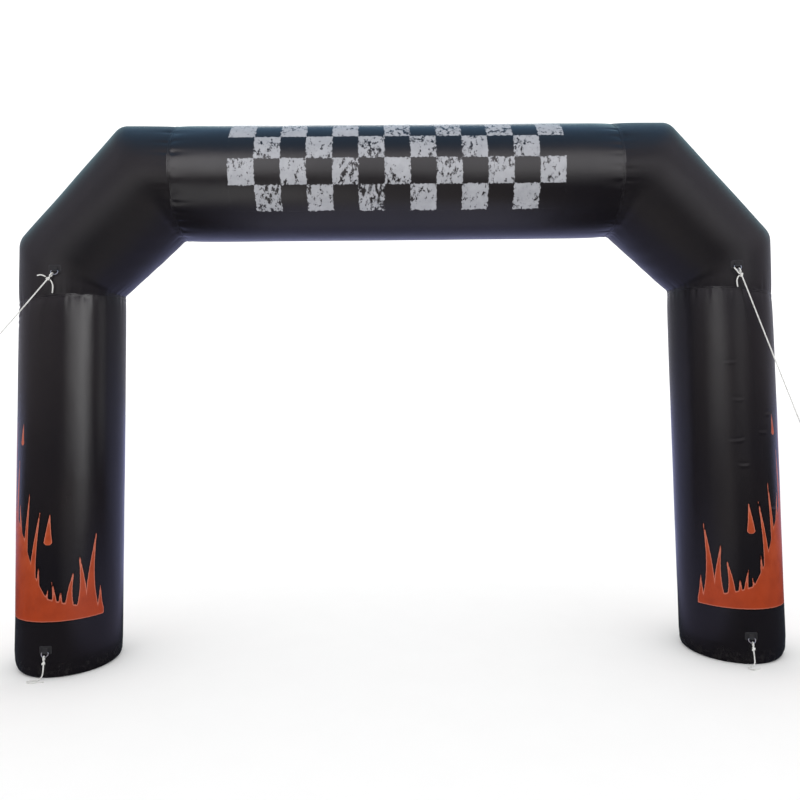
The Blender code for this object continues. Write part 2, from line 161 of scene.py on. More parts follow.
# Loose flecks: arc of the foot, half width, lowest and highest point above the foot, lean
FLECKS = (
    (-0.006, 0.036, 0.560, 0.850, -0.020),
    (0.236, 0.022, 1.290, 1.520, -0.020),
)
# Solid body of the print under its tongues: arc, height above the foot
FLAME_BODY = ((-0.41, 0.050), (-0.30, 0.085), (-0.20, 0.110), (-0.10, 0.140), (0.0, 0.175), (0.1, 0.350),
              (0.2, 0.600), (0.29, 0.740), (0.36, 0.830), (0.43, 0.900), (0.60, 0.920))

# Worn chequer on the beam: length, arc of its lower edge, side of a square
CHEQUER_LEFT = -1.235
CHEQUER_LOW = -0.325
CHEQUER_SQUARE = 0.1900
CHEQUER_COUNT = 13
CHEQUER_ROWS = 4

# Seam tapes
TAPE_HALF_WIDTH = 0.010
TAPE_LIFT = 0.0012
STITCH_PITCH = 0.0052
STITCH_LENGTH = 0.0036
STITCH_WIDTH = 0.0009
STITCH_ROWS = (-0.0062, 0.0062)
STITCH_CROWN = 0.55          # height of a stitch in widths
# Along a stitch: place in half lengths, height in crowns
STITCH_ARCH = ((-1.0, -0.4), (0.0, 1.0), (1.0, -0.4))
STITCH_LIFT = 1.2 * TAPE_LIFT
# Section of a tape: place in half widths, height in lifts
TAPE_SECTION = ((-1.0, -0.5), (-0.97, 1.0), (-0.55, 1.1), (-0.12, 1.35), (0.0, 0.9), (0.12, 1.35), (0.55, 1.1),
                (0.97, 1.0), (1.0, -0.5))

# Tie points, as in the part's source
CORD_DIAMETER = 0.009
TOUCH_GAP = 0.0004
PATCH_WIDTH = 0.090
PATCH_HEIGHT = 0.060
PATCH_THICKNESS = 0.0025
PATCH_CORNER = 0.010
PATCH_STEP = 0.004
PATCH_STITCH_INSETS = (0.0045, 0.0085)
# Section of a patch from its edge inwards: share of its size, share of its thickness
PATCH_SECTION = ((1.0, 0.0), (1.0, 0.6), (0.985, 0.9), (0.95, 1.0), (0.90, 0.94), (0.84, 0.94), (0.80, 1.0),
                 (0.50, 1.0))
WEBBING_WIDTH = 0.038
WEBBING_THICKNESS = 0.0022
WEBBING_LENGTH = 0.030
WEBBING_STEPS = 12
WEBBING_STITCH_PITCH = 0.0042
WEBBING_BOX_LOW = 0.013
WEBBING_INSET = 0.004
STITCH_CLEAR = 0.0001
WIRE_RADIUS = 0.003
WIRE_HOLE_RADIUS = 0.0038
RING_HALF_WIDTH = 0.025
RING_SHOULDER = 0.008
RING_CORNER = 0.007
RING_TILT = math.radians(24.0)
HITCH_HALF_WIDTH = 0.0088
HITCH_REACH = 0.012
KNOT_LENGTH = 0.032
KNOT_RADIUS = 0.0125
EYE_HALF_WIDTH = 0.016
EYE_REACH = 0.050
LOOP_STEP = 0.0035
LOBE_STEPS = 90
LOBE_SPREAD = 1.12
LOBE_LIFT = 0.0062
LOBE_LEAN = 0.0048
CORD_SIDES = 14
KNOT_SIDES = 12
CORD_STEP = 0.006
TAIL_STEP = 0.005
GUY_SAG = 0.003
# Rounded end of a cord, from its rim to its tip: share of the radius, reach in radii
BLUNT_END = ((0.985, 0.20), (0.90, 0.42), (0.72, 0.68), (0.42, 0.90))

TIES = (
    ("elbow_left", -1, 0.034, 2.982, 0.0006, (-0.367, -0.130, -0.532)),
    ("elbow_right", 1, 0.036, 2.966, 0.000, (0.300, -0.100, -0.950)),
    ("foot_left", -1, 0.000, 0.196, 0.003, (-0.060, -0.030, -1.000)),
    ("foot_right", 1, 0.036, 0.200, 0.003, (0.080, -0.030, -1.000)),
)
TAILS = (
    ("tail_left_upper", "elbow_left",
     ((-0.017, -0.006, 0.013), (-0.032, -0.010, 0.021), (-0.052, -0.009, 0.025), (-0.074, -0.004, 0.022))),
    ("tail_left_lower", "elbow_left",
     ((0.018, -0.004, -0.013), (0.026, -0.001, -0.026), (0.028, 0.010, -0.056), (0.020, 0.019, -0.100))),
    ("tail_right_upper", "elbow_right",
     ((-0.019, -0.006, 0.006), (-0.030, -0.009, 0.018), (-0.042, -0.009, 0.034), (-0.054, -0.004, 0.050))),
    ("tail_right_lower", "elbow_right",
     ((-0.020, -0.004, -0.008), (-0.029, -0.002, -0.020), (-0.031, 0.007, -0.045),
      (-0.022, 0.015, -0.084))),
)
GUY_ENDS = {
    "elbow_left": (-2.925, -0.560, 2.385),
    "elbow_right": (2.935, -0.560, 1.610),
}
FOOT_ROUTES = {
    "foot_left": (
        (-2.6262, -0.4081, 0.085),
        (-2.6285, -0.4095, 0.056),
        (-2.635, -0.413, 0.030),
        (-2.651, -0.419, 0.011),
        (-2.676, -0.425, 0.0058),
        (-2.706, -0.426, 0.0058),
        (-2.728, -0.438, 0.0058),
        (-2.719, -0.459, 0.0058),
        (-2.686, -0.462, 0.0058),
        (-2.646, -0.452, 0.0058),
        (-2.606, -0.450, 0.0058),
    ),
    "foot_right": (
        (2.5900, -0.4066, 0.088),
        (2.5922, -0.4085, 0.059),
        (2.591, -0.412, 0.031),
        (2.575, -0.420, 0.011),
        (2.551, -0.429, 0.0058),
        (2.529, -0.443, 0.0058),
        (2.527, -0.465, 0.0058),
        (2.548, -0.477, 0.0058),
        (2.578, -0.468, 0.0058),
        (2.610, -0.452, 0.0058),
    ),
}


# Studio: what the glossy cloth mirrors
FLOOR_FEET = (0.045, 0.045, 0.060)
FLOOR_MIDDLE = (0.40, 0.39, 0.62)
FLOOR_FRONT = (0.56, 0.51, 0.50)
FLOOR_ASIDE = (0.06, 0.05, 0.06)
FLOOR_BACK = (0.42, 0.44, 0.74)
ROOM_FRONT = (0.74, 0.65, 0.66)
ROOM_HIGH = (1.42, 1.34, 1.50)
ROOM_CLOUD = (0.42, 0.36, 0.42)
ROOM_SIDE = (0.50, 0.46, 0.52)
ROOM_BACK = (0.46, 0.45, 0.52)
ROOM_BACK_HIGH = (0.50, 0.74, 0.84)
ROOM_HORIZON = (2.90, 2.95, 3.00)
ROOM_ZENITH = (0.32, 0.60, 0.95)
UNDER_TINT = (0.78, 0.80, 1.00)
WORLD_STRENGTH = 1.25
FLOOR_HALF_SIZE = 90.0
FLOOR_PAINT = ((0.88, 0.88, 0.88), (0.90, 0.90, 0.90))
# Panels of light: pieces that mirror them, the point they face, distance, bearings in degrees from the
# front, heights in metres for a leg or angles in degrees for the beam, radiance
PANELS = (
    (("leg_left_fabric", "seam_leg_left"), (-2.42, -0.36, 0.0), 9.0, (33.0, 58.0), (0.6, 6.0), 5.1),
    (("leg_left_fabric", "seam_leg_left"), (-2.42, -0.36, 0.0), 9.0, (14.0, 32.0), (1.7, 6.0), 3.2),
    (("leg_left_fabric",), (-2.42, -0.36, 0.0), 2.0, (89.0, 95.0), (1.5, 3.6), 2.2),
    (("leg_right_fabric", "seam_leg_right"), (2.42, -0.36, 0.0), 9.0, (-46.0, -13.0), (1.5, 6.0), 2.0),
    (("leg_right_fabric", "seam_leg_right"), (2.42, -0.36, 0.0), 9.0, (3.0, 31.0), (1.4, 6.0), 0.7),
    (("elbow_left_fabric",), (-2.25, -0.40, 3.35), 9.0, (-40.0, 12.0), (-10.0, 20.0), 0.80),
    (("elbow_right_fabric",), (2.25, -0.40, 3.35), 9.0, (-4.0, 50.0), (0.0, 30.0), 0.85),
    (("beam_fabric", "seam_beam_left", "seam_beam_right"), (0.0, -0.43, 3.72), 9.0, (-45.0, 45.0),
     (1.0, 43.0), 1.7),
    (("beam_fabric", "seam_beam_left"), (-1.20, -0.43, 3.72), 9.0, (-40.0, -10.0), (6.0, 41.0), 1.5),
    (("beam_fabric", "seam_beam_right"), (1.20, -0.43, 3.72), 9.0, (0.0, 40.0), (-16.0, 43.0), 0.80),
    (("beam_fabric",), (0.0, -0.43, 3.72), 2.5, (-33.0, 33.0), (-112.0, -58.0), 0.65),
    (("beam_fabric", "seam_beam_left"), (-1.20, -0.43, 3.72), 4.0, (-40.0, 0.0), (-52.0, -16.0), 1.5),
)


# Camera


def make_camera():
    camera = bpy.data.cameras.new("camera")
    camera.sensor_width = CAMERA_SENSOR
    camera.lens = CAMERA_LENS
    camera.clip_start, camera.clip_end = CAMERA_REACH
    flat = math.cos(CAMERA_PITCH)
    ahead = Vector((math.sin(CAMERA_YAW) * flat, math.cos(CAMERA_YAW) * flat, math.sin(CAMERA_PITCH)))
    level = Vector((math.cos(CAMERA_YAW), -math.sin(CAMERA_YAW), 0.0))
    above = level.cross(ahead)
    right = math.cos(CAMERA_ROLL) * level + math.sin(CAMERA_ROLL) * above
    up = math.cos(CAMERA_ROLL) * above - math.sin(CAMERA_ROLL) * level
    turn = Matrix((right, up, -ahead)).transposed().to_4x4()
    holder = bpy.data.objects.new("camera", camera)
    holder.matrix_world = Matrix.Translation(CAMERA_PLACE) @ turn
    bpy.context.scene.collection.objects.link(holder)
    bpy.context.scene.camera = holder


# Shader nodes


def add_node(tree, kind, **settings):
    item = tree.nodes.new("ShaderNode" + kind)
    for name, value in settings.items():
        setattr(item, name, value)
    return item


def feed(tree, socket, value):
    """Set a socket to a constant, or link another socket to it."""
    if isinstance(value, bpy.types.NodeSocket):
        tree.links.new(value, socket)
    else:
        socket.default_value = value


def maths(tree, operation, *values):
    item = add_node(tree, "Math", operation=operation)
    for socket, value in zip(item.inputs, values):
        feed(tree, socket, value)
    return item.outputs[0]


def times(tree, first, second):
    return maths(tree, "MULTIPLY", first, second)


def plus(tree, first, second):
    return maths(tree, "ADD", first, second)


def minus(tree, first, second):
    return maths(tree, "SUBTRACT", first, second)


def smooth_step(tree, value, low, high):
    item = add_node(tree, "MapRange", interpolation_type="SMOOTHSTEP")
    feed(tree, item.inputs["Value"], value)
    feed(tree, item.inputs["From Min"], low)
    feed(tree, item.inputs["From Max"], high)
    return item.outputs["Result"]


def between(tree, value, low, high, soft):
    """1 between two bounds, 0 outside them, with soft edges."""
    rise = smooth_step(tree, value, low - soft, low + soft)
    fall = smooth_step(tree, value, high - soft, high + soft)
    return minus(tree, rise, fall)


def blend_colours(tree, share, first, second):
    item = add_node(tree, "Mix", data_type="RGBA")
    feed(tree, item.inputs["Factor"], share)
    for socket, value in ((item.inputs[6], first), (item.inputs[7], second)):
        feed(tree, socket, value if isinstance(value, bpy.types.NodeSocket) else (*value, 1.0))
    return item.outputs[2]


def set_values(item, values):
    """Set the named sockets of a node to constants."""
    for name, value in values.items():
        item.inputs[name].default_value = value


def noise(tree, place, scale, detail=3.0, roughness=0.5):
    item = add_node(tree, "TexNoise")
    feed(tree, item.inputs["Vector"], place)
    set_values(item, {"Scale": scale, "Detail": detail, "Roughness": roughness})
    return item.outputs["Fac"]


def noise_between(tree, place, size, *settings):
    """Noise about zero, as high and as deep as half of the size."""
    return times(tree, minus(tree, noise(tree, place, *settings), 0.5), size)


def stretched(tree, place, scale):
    item = add_node(tree, "Mapping")
    feed(tree, item.inputs["Vector"], place)
    set_values(item, {"Scale": scale})
    return item.outputs["Vector"]


def bump(tree, height, distance, strength=1.0, normal=None):
    item = add_node(tree, "Bump")
    feed(tree, item.inputs["Height"], height)
    set_values(item, {"Distance": distance, "Strength": strength})
    if normal is not None:
        feed(tree, item.inputs["Normal"], normal)
    return item.outputs["Normal"]


def split(tree, vector):
    item = add_node(tree, "SeparateXYZ")
    feed(tree, item.inputs[0], vector)
    return item.outputs


def new_material(name):
    """A material, its tree, its shader, and the place of a point in its object."""
    material = bpy.data.materials.new(name)
    material.use_nodes = True
    tree = material.node_tree
    return material, tree, tree.nodes["Principled BSDF"], add_node(tree, "TexCoord").outputs["Object"]


def metres(tree):
    """The two coordinates of the surface, in metres."""
    parts = split(tree, add_node(tree, "UVMap", uv_map=UV_NAME).outputs["UV"])
    return parts["X"], parts["Y"]


def weave(tree, across, along, pitch):
    """Height of a plain weave, from -1 to 1."""
    first, second = (maths(tree, "SINE", times(tree, way, math.pi / pitch)) for way in (across, along))
    return times(tree, first, second)


# Materials


FABRIC_DARK = (0.0040, 0.0042, 0.0072)
FABRIC_PALE = (0.0105, 0.0084, 0.0086)
FABRIC_DUST = (0.050, 0.046, 0.040)
FABRIC_GLOSS = (0.17, 0.25)
FABRIC_SURFACE = {"IOR": 1.36, "Sheen Weight": 0.03, "Sheen Roughness": 0.35,
                  "Sheen Tint": (0.45, 0.70, 0.85, 1.0)}
ELBOW_MATT = 0.13
DUST_TOP = 0.16
DUST_SHARE = 0.25
DUST_MATT = 0.30
PRINT_MATT = 0.16
DENT_DEPTH = 0.010
DENT_STRENGTH = 0.14
WEAVE_PITCH = 0.0009
WEAVE_DEPTH = 0.00010

FLAME_LOW = (0.325, 0.034, 0.002)
FLAME_HIGH = (0.410, 0.070, 0.016)
FLAME_MOTTLE = (0.270, 0.027, 0.001)
FLAME_RIM = (0.560, 0.190, 0.130)
FLAME_SHADE = (0.0015, 0.0014, 0.0015)
FLAME_RAG = 0.006
FLAME_SOFT = 0.0012
FLAME_RISE = 1.1
FLAME_RIM_AT = (0.0005, 0.0055, 0.0018)
FLAME_SHADE_WIDTH = 0.006

CHEQUER_DARK = (0.235, 0.243, 0.268)
CHEQUER_PALE = (0.440, 0.445, 0.475)
CHEQUER_RAG = 0.24
CHEQUER_SOFT = 0.002
CHEQUER_PATCHES = 0.34
CHEQUER_WORN = (0.430, 0.462)

STEEL = ((0.42, 0.42, 0.43), (0.62, 0.62, 0.63))
THREAD_COLOURS = ((0.020, 0.020, 0.022), (0.055, 0.055, 0.058))
CORD_COLOURS = ((0.78, 0.78, 0.76), (0.40, 0.39, 0.37))
PATCH_COLOURS = ((0.006, 0.006, 0.007), (0.018, 0.018, 0.020))
WEBBING_COLOURS = ((0.008, 0.008, 0.009), (0.030, 0.030, 0.032))
CORD_STRANDS = 8.0
CORD_LAY = 1.1               # length of one turn of the braid, in diameters
CORD_RELIEF = 0.0006


def flame_print(tree, across, along, place, ground):
    """The printed flames over the ground colour, and where they are."""
    depth = add_node(tree, "Attribute", attribute_name=FLAME_FIELD).outputs["Fac"]
    depth = plus(tree, depth, noise_between(tree, place, FLAME_RAG, 55.0, 4.0))
    inside = smooth_step(tree, depth, -FLAME_SOFT, FLAME_SOFT)
    rise = smooth_step(tree, along, FLAME_BASE, FLAME_BASE + FLAME_RISE)
    mottled = smooth_step(tree, noise(tree, place, 9.0, 5.0, 0.6), 0.38, 0.76)
    colour = blend_colours(tree, rise, FLAME_LOW, FLAME_HIGH)
    colour = blend_colours(tree, mottled, colour, FLAME_MOTTLE)
    rim = between(tree, depth, *FLAME_RIM_AT)
    colour = blend_colours(tree, times(tree, rim, 0.55), colour, FLAME_RIM)
    away = maths(tree, "ABSOLUTE", plus(tree, depth, FLAME_SHADE_WIDTH))
    shade = smooth_step(tree, away, FLAME_SHADE_WIDTH, 0.002)
    ground = blend_colours(tree, times(tree, shade, 0.75), ground, FLAME_SHADE)
    return blend_colours(tree, inside, ground, colour), inside


def chequer_print(tree, across, along, place, ground):
    """A worn grey race chequer over the ground colour, and where it is."""
    ragged = noise_between(tree, place, CHEQUER_RAG, 46.0, 6.0, 0.7)
    squares = []
    whole = 1.0
    for way, low, count in ((along, CHEQUER_LEFT, CHEQUER_COUNT), (across, CHEQUER_LOW, CHEQUER_ROWS)):
        square = plus(tree, maths(tree, "DIVIDE", minus(tree, way, low), CHEQUER_SQUARE), ragged)
        whole = times(tree, whole, between(tree, square, 0.0, count, CHEQUER_SOFT))
        squares.append(maths(tree, "FLOOR", square))
    odd = maths(tree, "GREATER_THAN", maths(tree, "FLOORED_MODULO", plus(tree, *squares), 2.0), 0.5)
    grit = noise(tree, stretched(tree, place, (1.0, 1.0, 0.55)), 34.0, 9.0, 0.74)
    worn = plus(tree, grit, noise_between(tree, place, CHEQUER_PATCHES, 3.4, 4.0, 0.6))
    inside = times(tree, times(tree, odd, whole), smooth_step(tree, worn, *CHEQUER_WORN))
    colour = blend_colours(tree, noise(tree, place, 14.0, 6.0, 0.65), CHEQUER_DARK, CHEQUER_PALE)
    return blend_colours(tree, inside, ground, colour), inside


def coated_fabric(name, motif=None, matt=0.0):
    """Black coated cloth: fine weave under a glossy skin, soft dents, dust near the floor, and a print."""
    material, tree, shader, place = new_material(name)
    across, along = metres(tree)
    colour = blend_colours(tree, noise(tree, place, 1.7, 4.0, 0.55), FABRIC_DARK, FABRIC_PALE)
    low = smooth_step(tree, split(tree, place)["Z"], DUST_TOP, 0.0)
    dust = times(tree, low, smooth_step(tree, noise(tree, place, 26.0, 6.0, 0.65), 0.45, 0.75))
    colour = blend_colours(tree, times(tree, dust, DUST_SHARE), colour, FABRIC_DUST)
    gloss = add_node(tree, "MapRange")
    feed(tree, gloss.inputs["Value"], noise(tree, stretched(tree, place, (1.0, 1.0, 0.35)), 6.0, 5.0, 0.6))
    smooth, rough = FABRIC_GLOSS
    set_values(gloss, {"From Min": 0.3, "From Max": 0.7, "To Min": smooth + matt, "To Max": rough + matt})
    roughness = plus(tree, gloss.outputs["Result"], times(tree, dust, DUST_MATT))
    if motif is not None:
        colour, inside = motif(tree, across, along, place, colour)
        roughness = plus(tree, roughness, times(tree, inside, PRINT_MATT))
    feed(tree, shader.inputs["Base Color"], colour)
    feed(tree, shader.inputs["Roughness"], roughness)
    set_values(shader, FABRIC_SURFACE)
    dents = noise(tree, stretched(tree, place, (1.0, 1.0, 0.6)), 7.0, 2.0, 0.5)
    normal = bump(tree, dents, DENT_DEPTH, DENT_STRENGTH)
    normal = bump(tree, weave(tree, across, along, WEAVE_PITCH), WEAVE_DEPTH, 0.5, normal)
    feed(tree, shader.inputs["Normal"], normal)
    return material


def woven_material(name, colours, pitch, depth, roughness):
    """Plain woven strap or patch."""
    material, tree, shader, place = new_material(name)
    threads = weave(tree, *metres(tree), pitch)
    share = maths(tree, "MULTIPLY_ADD", threads, 0.35, noise(tree, place, 60.0, 4.0))
    feed(tree, shader.inputs["Base Color"], blend_colours(tree, share, *colours))
    feed(tree, shader.inputs["Roughness"], maths(tree, "MULTIPLY_ADD", threads, 0.08, roughness))
    set_values(shader, {"Sheen Weight": 0.15, "Sheen Roughness": 0.4})
    feed(tree, shader.inputs["Normal"], bump(tree, threads, depth, 0.8))
    return material


def steel_material():
    material, tree, shader, place = new_material("ring_steel_brushed")
    spots = noise(tree, place, 240.0, 5.0, 0.6)
    feed(tree, shader.inputs["Base Color"], blend_colours(tree, spots, *STEEL))
    feed(tree, shader.inputs["Roughness"], maths(tree, "MULTIPLY_ADD", spots, 0.25, 0.18))
    set_values(shader, {"Metallic": 1.0})
    feed(tree, shader.inputs["Normal"], bump(tree, spots, 0.0002, 0.3))
    return material


def cord_material():
    """Braided cord: crossing strands, painted shade in the grooves between them, and a little random grime."""
    material, tree, shader, place = new_material("cord_braid")
    around, along = metres(tree)
    turns = times(tree, around, CORD_STRANDS / CORD_DIAMETER)
    steps = times(tree, along, math.tau / (CORD_LAY * CORD_DIAMETER))
    one = maths(tree, "SINE", plus(tree, turns, steps))
    two = maths(tree, "SINE", minus(tree, turns, steps))
    braid = maths(tree, "MAXIMUM", one, two)
    grime = noise(tree, place, 45.0, 5.0, 0.6)
    # the braid term darkens the grooves between strands as painted shade; the grime noise over it is dirt
    share = maths(tree, "MULTIPLY_ADD", braid, -0.30, smooth_step(tree, grime, 0.30, 0.85))
    feed(tree, shader.inputs["Base Color"], blend_colours(tree, share, *CORD_COLOURS))
    feed(tree, shader.inputs["Roughness"], maths(tree, "MULTIPLY_ADD", grime, 0.15, 0.62))
    set_values(shader, {"Sheen Weight": 0.25})
    feed(tree, shader.inputs["Normal"], bump(tree, braid, CORD_RELIEF, 0.9))
    return material


def stitch_material():
    material, tree, shader, place = new_material("stitch_thread")
    twist = noise(tree, place, 900.0, 2.0)
    feed(tree, shader.inputs["Base Color"], blend_colours(tree, twist, *THREAD_COLOURS))
    set_values(shader, {"Roughness": 0.55})
    feed(tree, shader.inputs["Normal"], bump(tree, twist, 0.0002, 0.5))
    return material


# Meshes


def finish_piece(mesh, material, replaced=()):
    piece = bpy.data.objects.new(mesh.name, mesh)
    bpy.context.scene.collection.objects.link(piece)
    piece.data.materials.append(material)
    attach(piece, BODY)
    if replaced:
        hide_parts(*replaced)
    return piece


def grid_mesh(name, points, around, along, flip=False, ends=True):
    """A tube's skin from rows of points, with its coordinates in metres, closed by fans."""
    rows, columns = points.shape[:2]
    low = np.arange(rows - 1)[:, None] * columns
    step = np.arange(columns)[None, :]
    after = (step + 1) % columns
    quads = np.stack([low + step, low + after, low + columns + after, low + columns + step], axis=-1)
    wide = np.append(around, around[0] + (around[1] - around[0]) * columns)
    next_along = np.roll(along, -1, axis=1)
    across = np.stack([wide[:-1], wide[1:], wide[1:], wide[:-1]], axis=-1)
    across = np.broadcast_to(across, (rows - 1, columns, 4))
    lengths = np.stack([along[:-1], next_along[:-1], next_along[1:], along[1:]], axis=-1)
    uv = np.stack([across, lengths], axis=-1).reshape(-1, 4, 2)
    quads = quads.reshape(-1, 4)
    if flip:
        quads = quads[:, ::-1]
        uv = uv[:, ::-1]
    faces = quads.tolist()
    corners = points.reshape(-1, 3)
    uv = uv.reshape(-1, 2)
    if ends:
        for row, reverse in ((0, not flip), (rows - 1, flip)):
            ring = row * columns + np.arange(columns)
            middle = len(corners)
            corners = np.vstack([corners, points[row].mean(axis=0)])
            fan = np.stack([ring, np.roll(ring, -1), np.full(columns, middle)], axis=-1)
            if reverse:
                fan = fan[:, ::-1]
            faces += fan.tolist()
            uv = np.vstack([uv, corners[fan.reshape(-1)][:, :2]])
    mesh = bpy.data.meshes.new(name)
    mesh.from_pydata(corners.tolist(), [], faces)
    mesh.shade_smooth()
    mesh.set_sharp_from_angle(angle=math.radians(55.0))
    layer = mesh.uv_layers.new(name=UV_NAME)
    layer.data.foreach_set("uv", uv.astype(np.float32).reshape(-1))
    return mesh


def parallel_frames(path, closed=False):
    """Sides and tops that turn as little as they can along a path of points."""
    points = [Vector(point) for point in path]
    count = len(points)
    ways = []
    for index in range(count):
        before = points[index - 1] if index or closed else points[0]
        after = points[(index + 1) % count] if index < count - 1 or closed else points[-1]
        ways.append((after - before).normalized())
    side = ways[0].orthogonal().normalized()
    frames = []
    for index, way in enumerate(ways):
        if index:
            side = ways[index - 1].rotation_difference(way) @ side
            side = (side - way * side.dot(way)).normalized()
        frames.append((points[index], way, side, way.cross(side)))
    if closed:
        point, way, first, top = frames[0]
        last = ways[-1].rotation_difference(way) @ frames[-1][2]
        twist = math.atan2(last.dot(top), last.dot(first))
        turned = []
        for index, (point, way, side, top) in enumerate(frames):
            back = Matrix.Rotation(-twist * index / count, 3, way)
            turned.append((point, way, back @ side, back @ top))
        frames = turned
    return frames


def tube_mesh(name, path, radius, sides, closed=False):
    """A round tube along a path, its ends rounded off."""
    frames = parallel_frames(path, closed)
    rings = []
    reach = []
    walked = 0.0
    for index, (point, way, side, top) in enumerate(frames):
        if index:
            walked += (point - frames[index - 1][0]).length
        rings.append((point, side, top, radius))
        reach.append(walked)
    if not closed:
        first, way, side, top = frames[0]
        last, end_way, end_side, end_top = frames[-1]
        for size, out in BLUNT_END:
            rings.insert(0, (first - way * radius * out, side, top, radius * size))
            reach.insert(0, -radius * out)
            rings.append((last + end_way * radius * out, end_side, end_top, radius * size))
            reach.append(walked + radius * out)
    if closed:
        rings.append(rings[0])
        reach.append(walked + (frames[0][0] - frames[-1][0]).length)
    turns = np.arange(sides) * math.tau / sides
    points = []
    for point, side, top, size in rings:
        middle, right, up = np.array(point), np.array(side), np.array(top)
        points.append([middle + size * (math.cos(turn) * right + math.sin(turn) * up) for turn in turns])
    along = np.repeat(np.array(reach)[:, None], sides, axis=1)
    return grid_mesh(name, np.array(points), turns * radius, along, ends=not closed)


def join_meshes(name, meshes):
    """One mesh from several, with their coordinates kept."""
    points = []
    faces = []
    uv = []
    for mesh in meshes:
        start = len(points)
        points += [vertex.co[:] for vertex in mesh.vertices]
        faces += [[start + corner for corner in polygon.vertices] for polygon in mesh.polygons]
        uv += [item.uv[:] for item in mesh.uv_layers[UV_NAME].data]
        bpy.data.meshes.remove(mesh)
    joined = bpy.data.meshes.new(name)
    joined.from_pydata(points, [], faces)
    joined.shade_smooth()
    joined.set_sharp_from_angle(angle=math.radians(50.0))
    layer = joined.uv_layers.new(name=UV_NAME)
    layer.data.foreach_set("uv", np.array(uv, dtype=np.float32).reshape(-1))
    return joined


def stitches_mesh(name, rows):
    """Short raised stitches along rows of (place, way, outwards)."""
    points = []
    faces = []
    for row in rows:
        for place, way, out in row:
            across = np.cross(way, out)
            start = len(points)
            for end, lift in STITCH_ARCH:
                middle = place + way * end * STITCH_LENGTH / 2.0
                for side in (-1.0, 0.0, 1.0):
                    height = STITCH_WIDTH * STITCH_CROWN * (lift if side == 0.0 else min(lift, -0.1))
                    points.append(middle + across * side * STITCH_WIDTH / 2.0 + out * height)
            for low in (start, start + 3):
                faces.append((low, low + 1, low + 4, low + 3))
                faces.append((low + 1, low + 2, low + 5, low + 4))
    mesh = bpy.data.meshes.new(name)
    mesh.from_pydata([tuple(point) for point in points], [], faces)
    mesh.shade_smooth()
    return mesh


# Skin of the tubes, with the folds of the solids and finer ones


def mitre(at, before, after, radius):
    first = Vector((before.y, -before.x))
    second = Vector((after.y, -after.x))
    reach = radius * (first + second) / (1.0 + first.dot(second))
    return at + reach, at - reach


LOW_BEND = Vector((LEG_AXIS_X, LOW_BEND_HEIGHT))
HIGH_BEND = Vector((HIGH_BEND_X, BEAM_AXIS_HEIGHT))
DIAGONAL_WAY = (HIGH_BEND - LOW_BEND).normalized()
BEAM_WAY = Vector((-1.0, 0.0))
LOW_HALF = Vector((LEG_RADIUS / math.cos(LEG_SPLAY) - LOW_RISE * math.tan(LEG_SPLAY), LOW_RISE))
LOW_OUTER = LOW_BEND + LOW_HALF
LOW_INNER = LOW_BEND - LOW_HALF
HIGH_OUTER, HIGH_INNER_MITRE = mitre(HIGH_BEND, DIAGONAL_WAY, BEAM_WAY, BEAM_RADIUS)
HIGH_INNER = Vector((HIGH_BEND_INNER_X, HIGH_INNER_MITRE.y))


def leg_axis_x(height):
    return LEG_AXIS_X + (LOW_BEND_HEIGHT - height) * math.tan(LEG_SPLAY)


def seam_height(turn):
    return SEAM_HEIGHT - SEAM_TILT * np.sin(turn) - SEAM_DIP * np.cos(turn) ** 2


def wrapped(turn):
    return np.remainder(turn + math.pi, math.tau) - math.pi


def pucker(turn, distance, seed):
    """Depth of the folds that run out from a seam: those of the solids, and finer ones over them."""
    calm = np.minimum(1.0, np.abs(wrapped(turn)) / CALM_ARC)
    wave = 0.5
    for number, (waves, share) in enumerate(PUCKER_WAVES):
        wave = wave + share * np.sin(waves * turn + 1.7 * seed + 2.3 * number)
    folds = PUCKER_DEPTH * np.maximum(0.0, wave) * calm ** 2 * np.exp(-distance / PUCKER_FADE)
    fine = 0.5
    for number, (waves, share) in enumerate(FINE_FOLDS):
        drift = 1.5 * np.sin(3.0 * turn + seed)
        fine = fine + share * np.sin(waves * turn + 3.1 * seed + 1.3 * number + drift)
    fine = FINE_DEPTH * np.maximum(0.0, fine) * (0.35 + 0.65 * calm) * np.exp(-distance / FINE_FADE)
    fine = fine * np.minimum(1.0, distance / FINE_START)
    return folds + fine + SEAM_PINCH * np.exp(-distance / PINCH_FADE)


def pleats(turn, distance, seed):
    """Depth of the short pleats that gather at a seam, outside its tape."""
    wave = np.maximum(0.0, np.sin(26.0 * turn + 2.2 * np.sin(4.0 * turn + seed) + seed)) ** 1.5
    share = 0.35 + 0.65 * (0.5 + 0.5 * np.sin(5.0 * turn + 2.0 * seed))
    reach = np.clip((distance - TAPE_HALF_WIDTH) / PLEAT_START, 0.0, 1.0)
    return PLEAT_DEPTH * share * wave * reach * np.exp(-distance / PLEAT_FADE)


def leg_point(turn, height, sink):
    reach = (LEG_RADIUS - sink) / math.cos(LEG_SPLAY)
    depth = (LEG_RADIUS - sink) * np.cos(turn)
    return np.stack(np.broadcast_arrays(leg_axis_x(height) + reach * np.sin(turn), -depth, height), axis=-1)


def beam_point(turn, x, sink):
    reach = BEAM_RADIUS - sink
    height = BEAM_AXIS_HEIGHT + reach * np.sin(turn)
    return np.stack(np.broadcast_arrays(x, -reach * np.cos(turn), height), axis=-1)


def oval(outer, inner, depth, turn, sink=0.0):
    middle = (outer + inner) / 2.0
    half = (outer - inner) / 2.0
    size = 1.0 - sink / depth
    swing = size * np.sin(turn)
    forward = -depth * size * np.cos(turn)
    return np.stack([middle.x + half.x * swing, forward, middle.y + half.y * swing], axis=-1)


def hem_size(turn):
    outward = np.sin(turn)
    outer = HEM_FRONT + (HEM_OUTER - HEM_FRONT) * np.maximum(outward, 0.0) ** 1.5
    inner = HEM_FRONT + (HEM_INNER - HEM_FRONT) * outward ** 2
    return np.where(outward > 0.0, outer, inner)


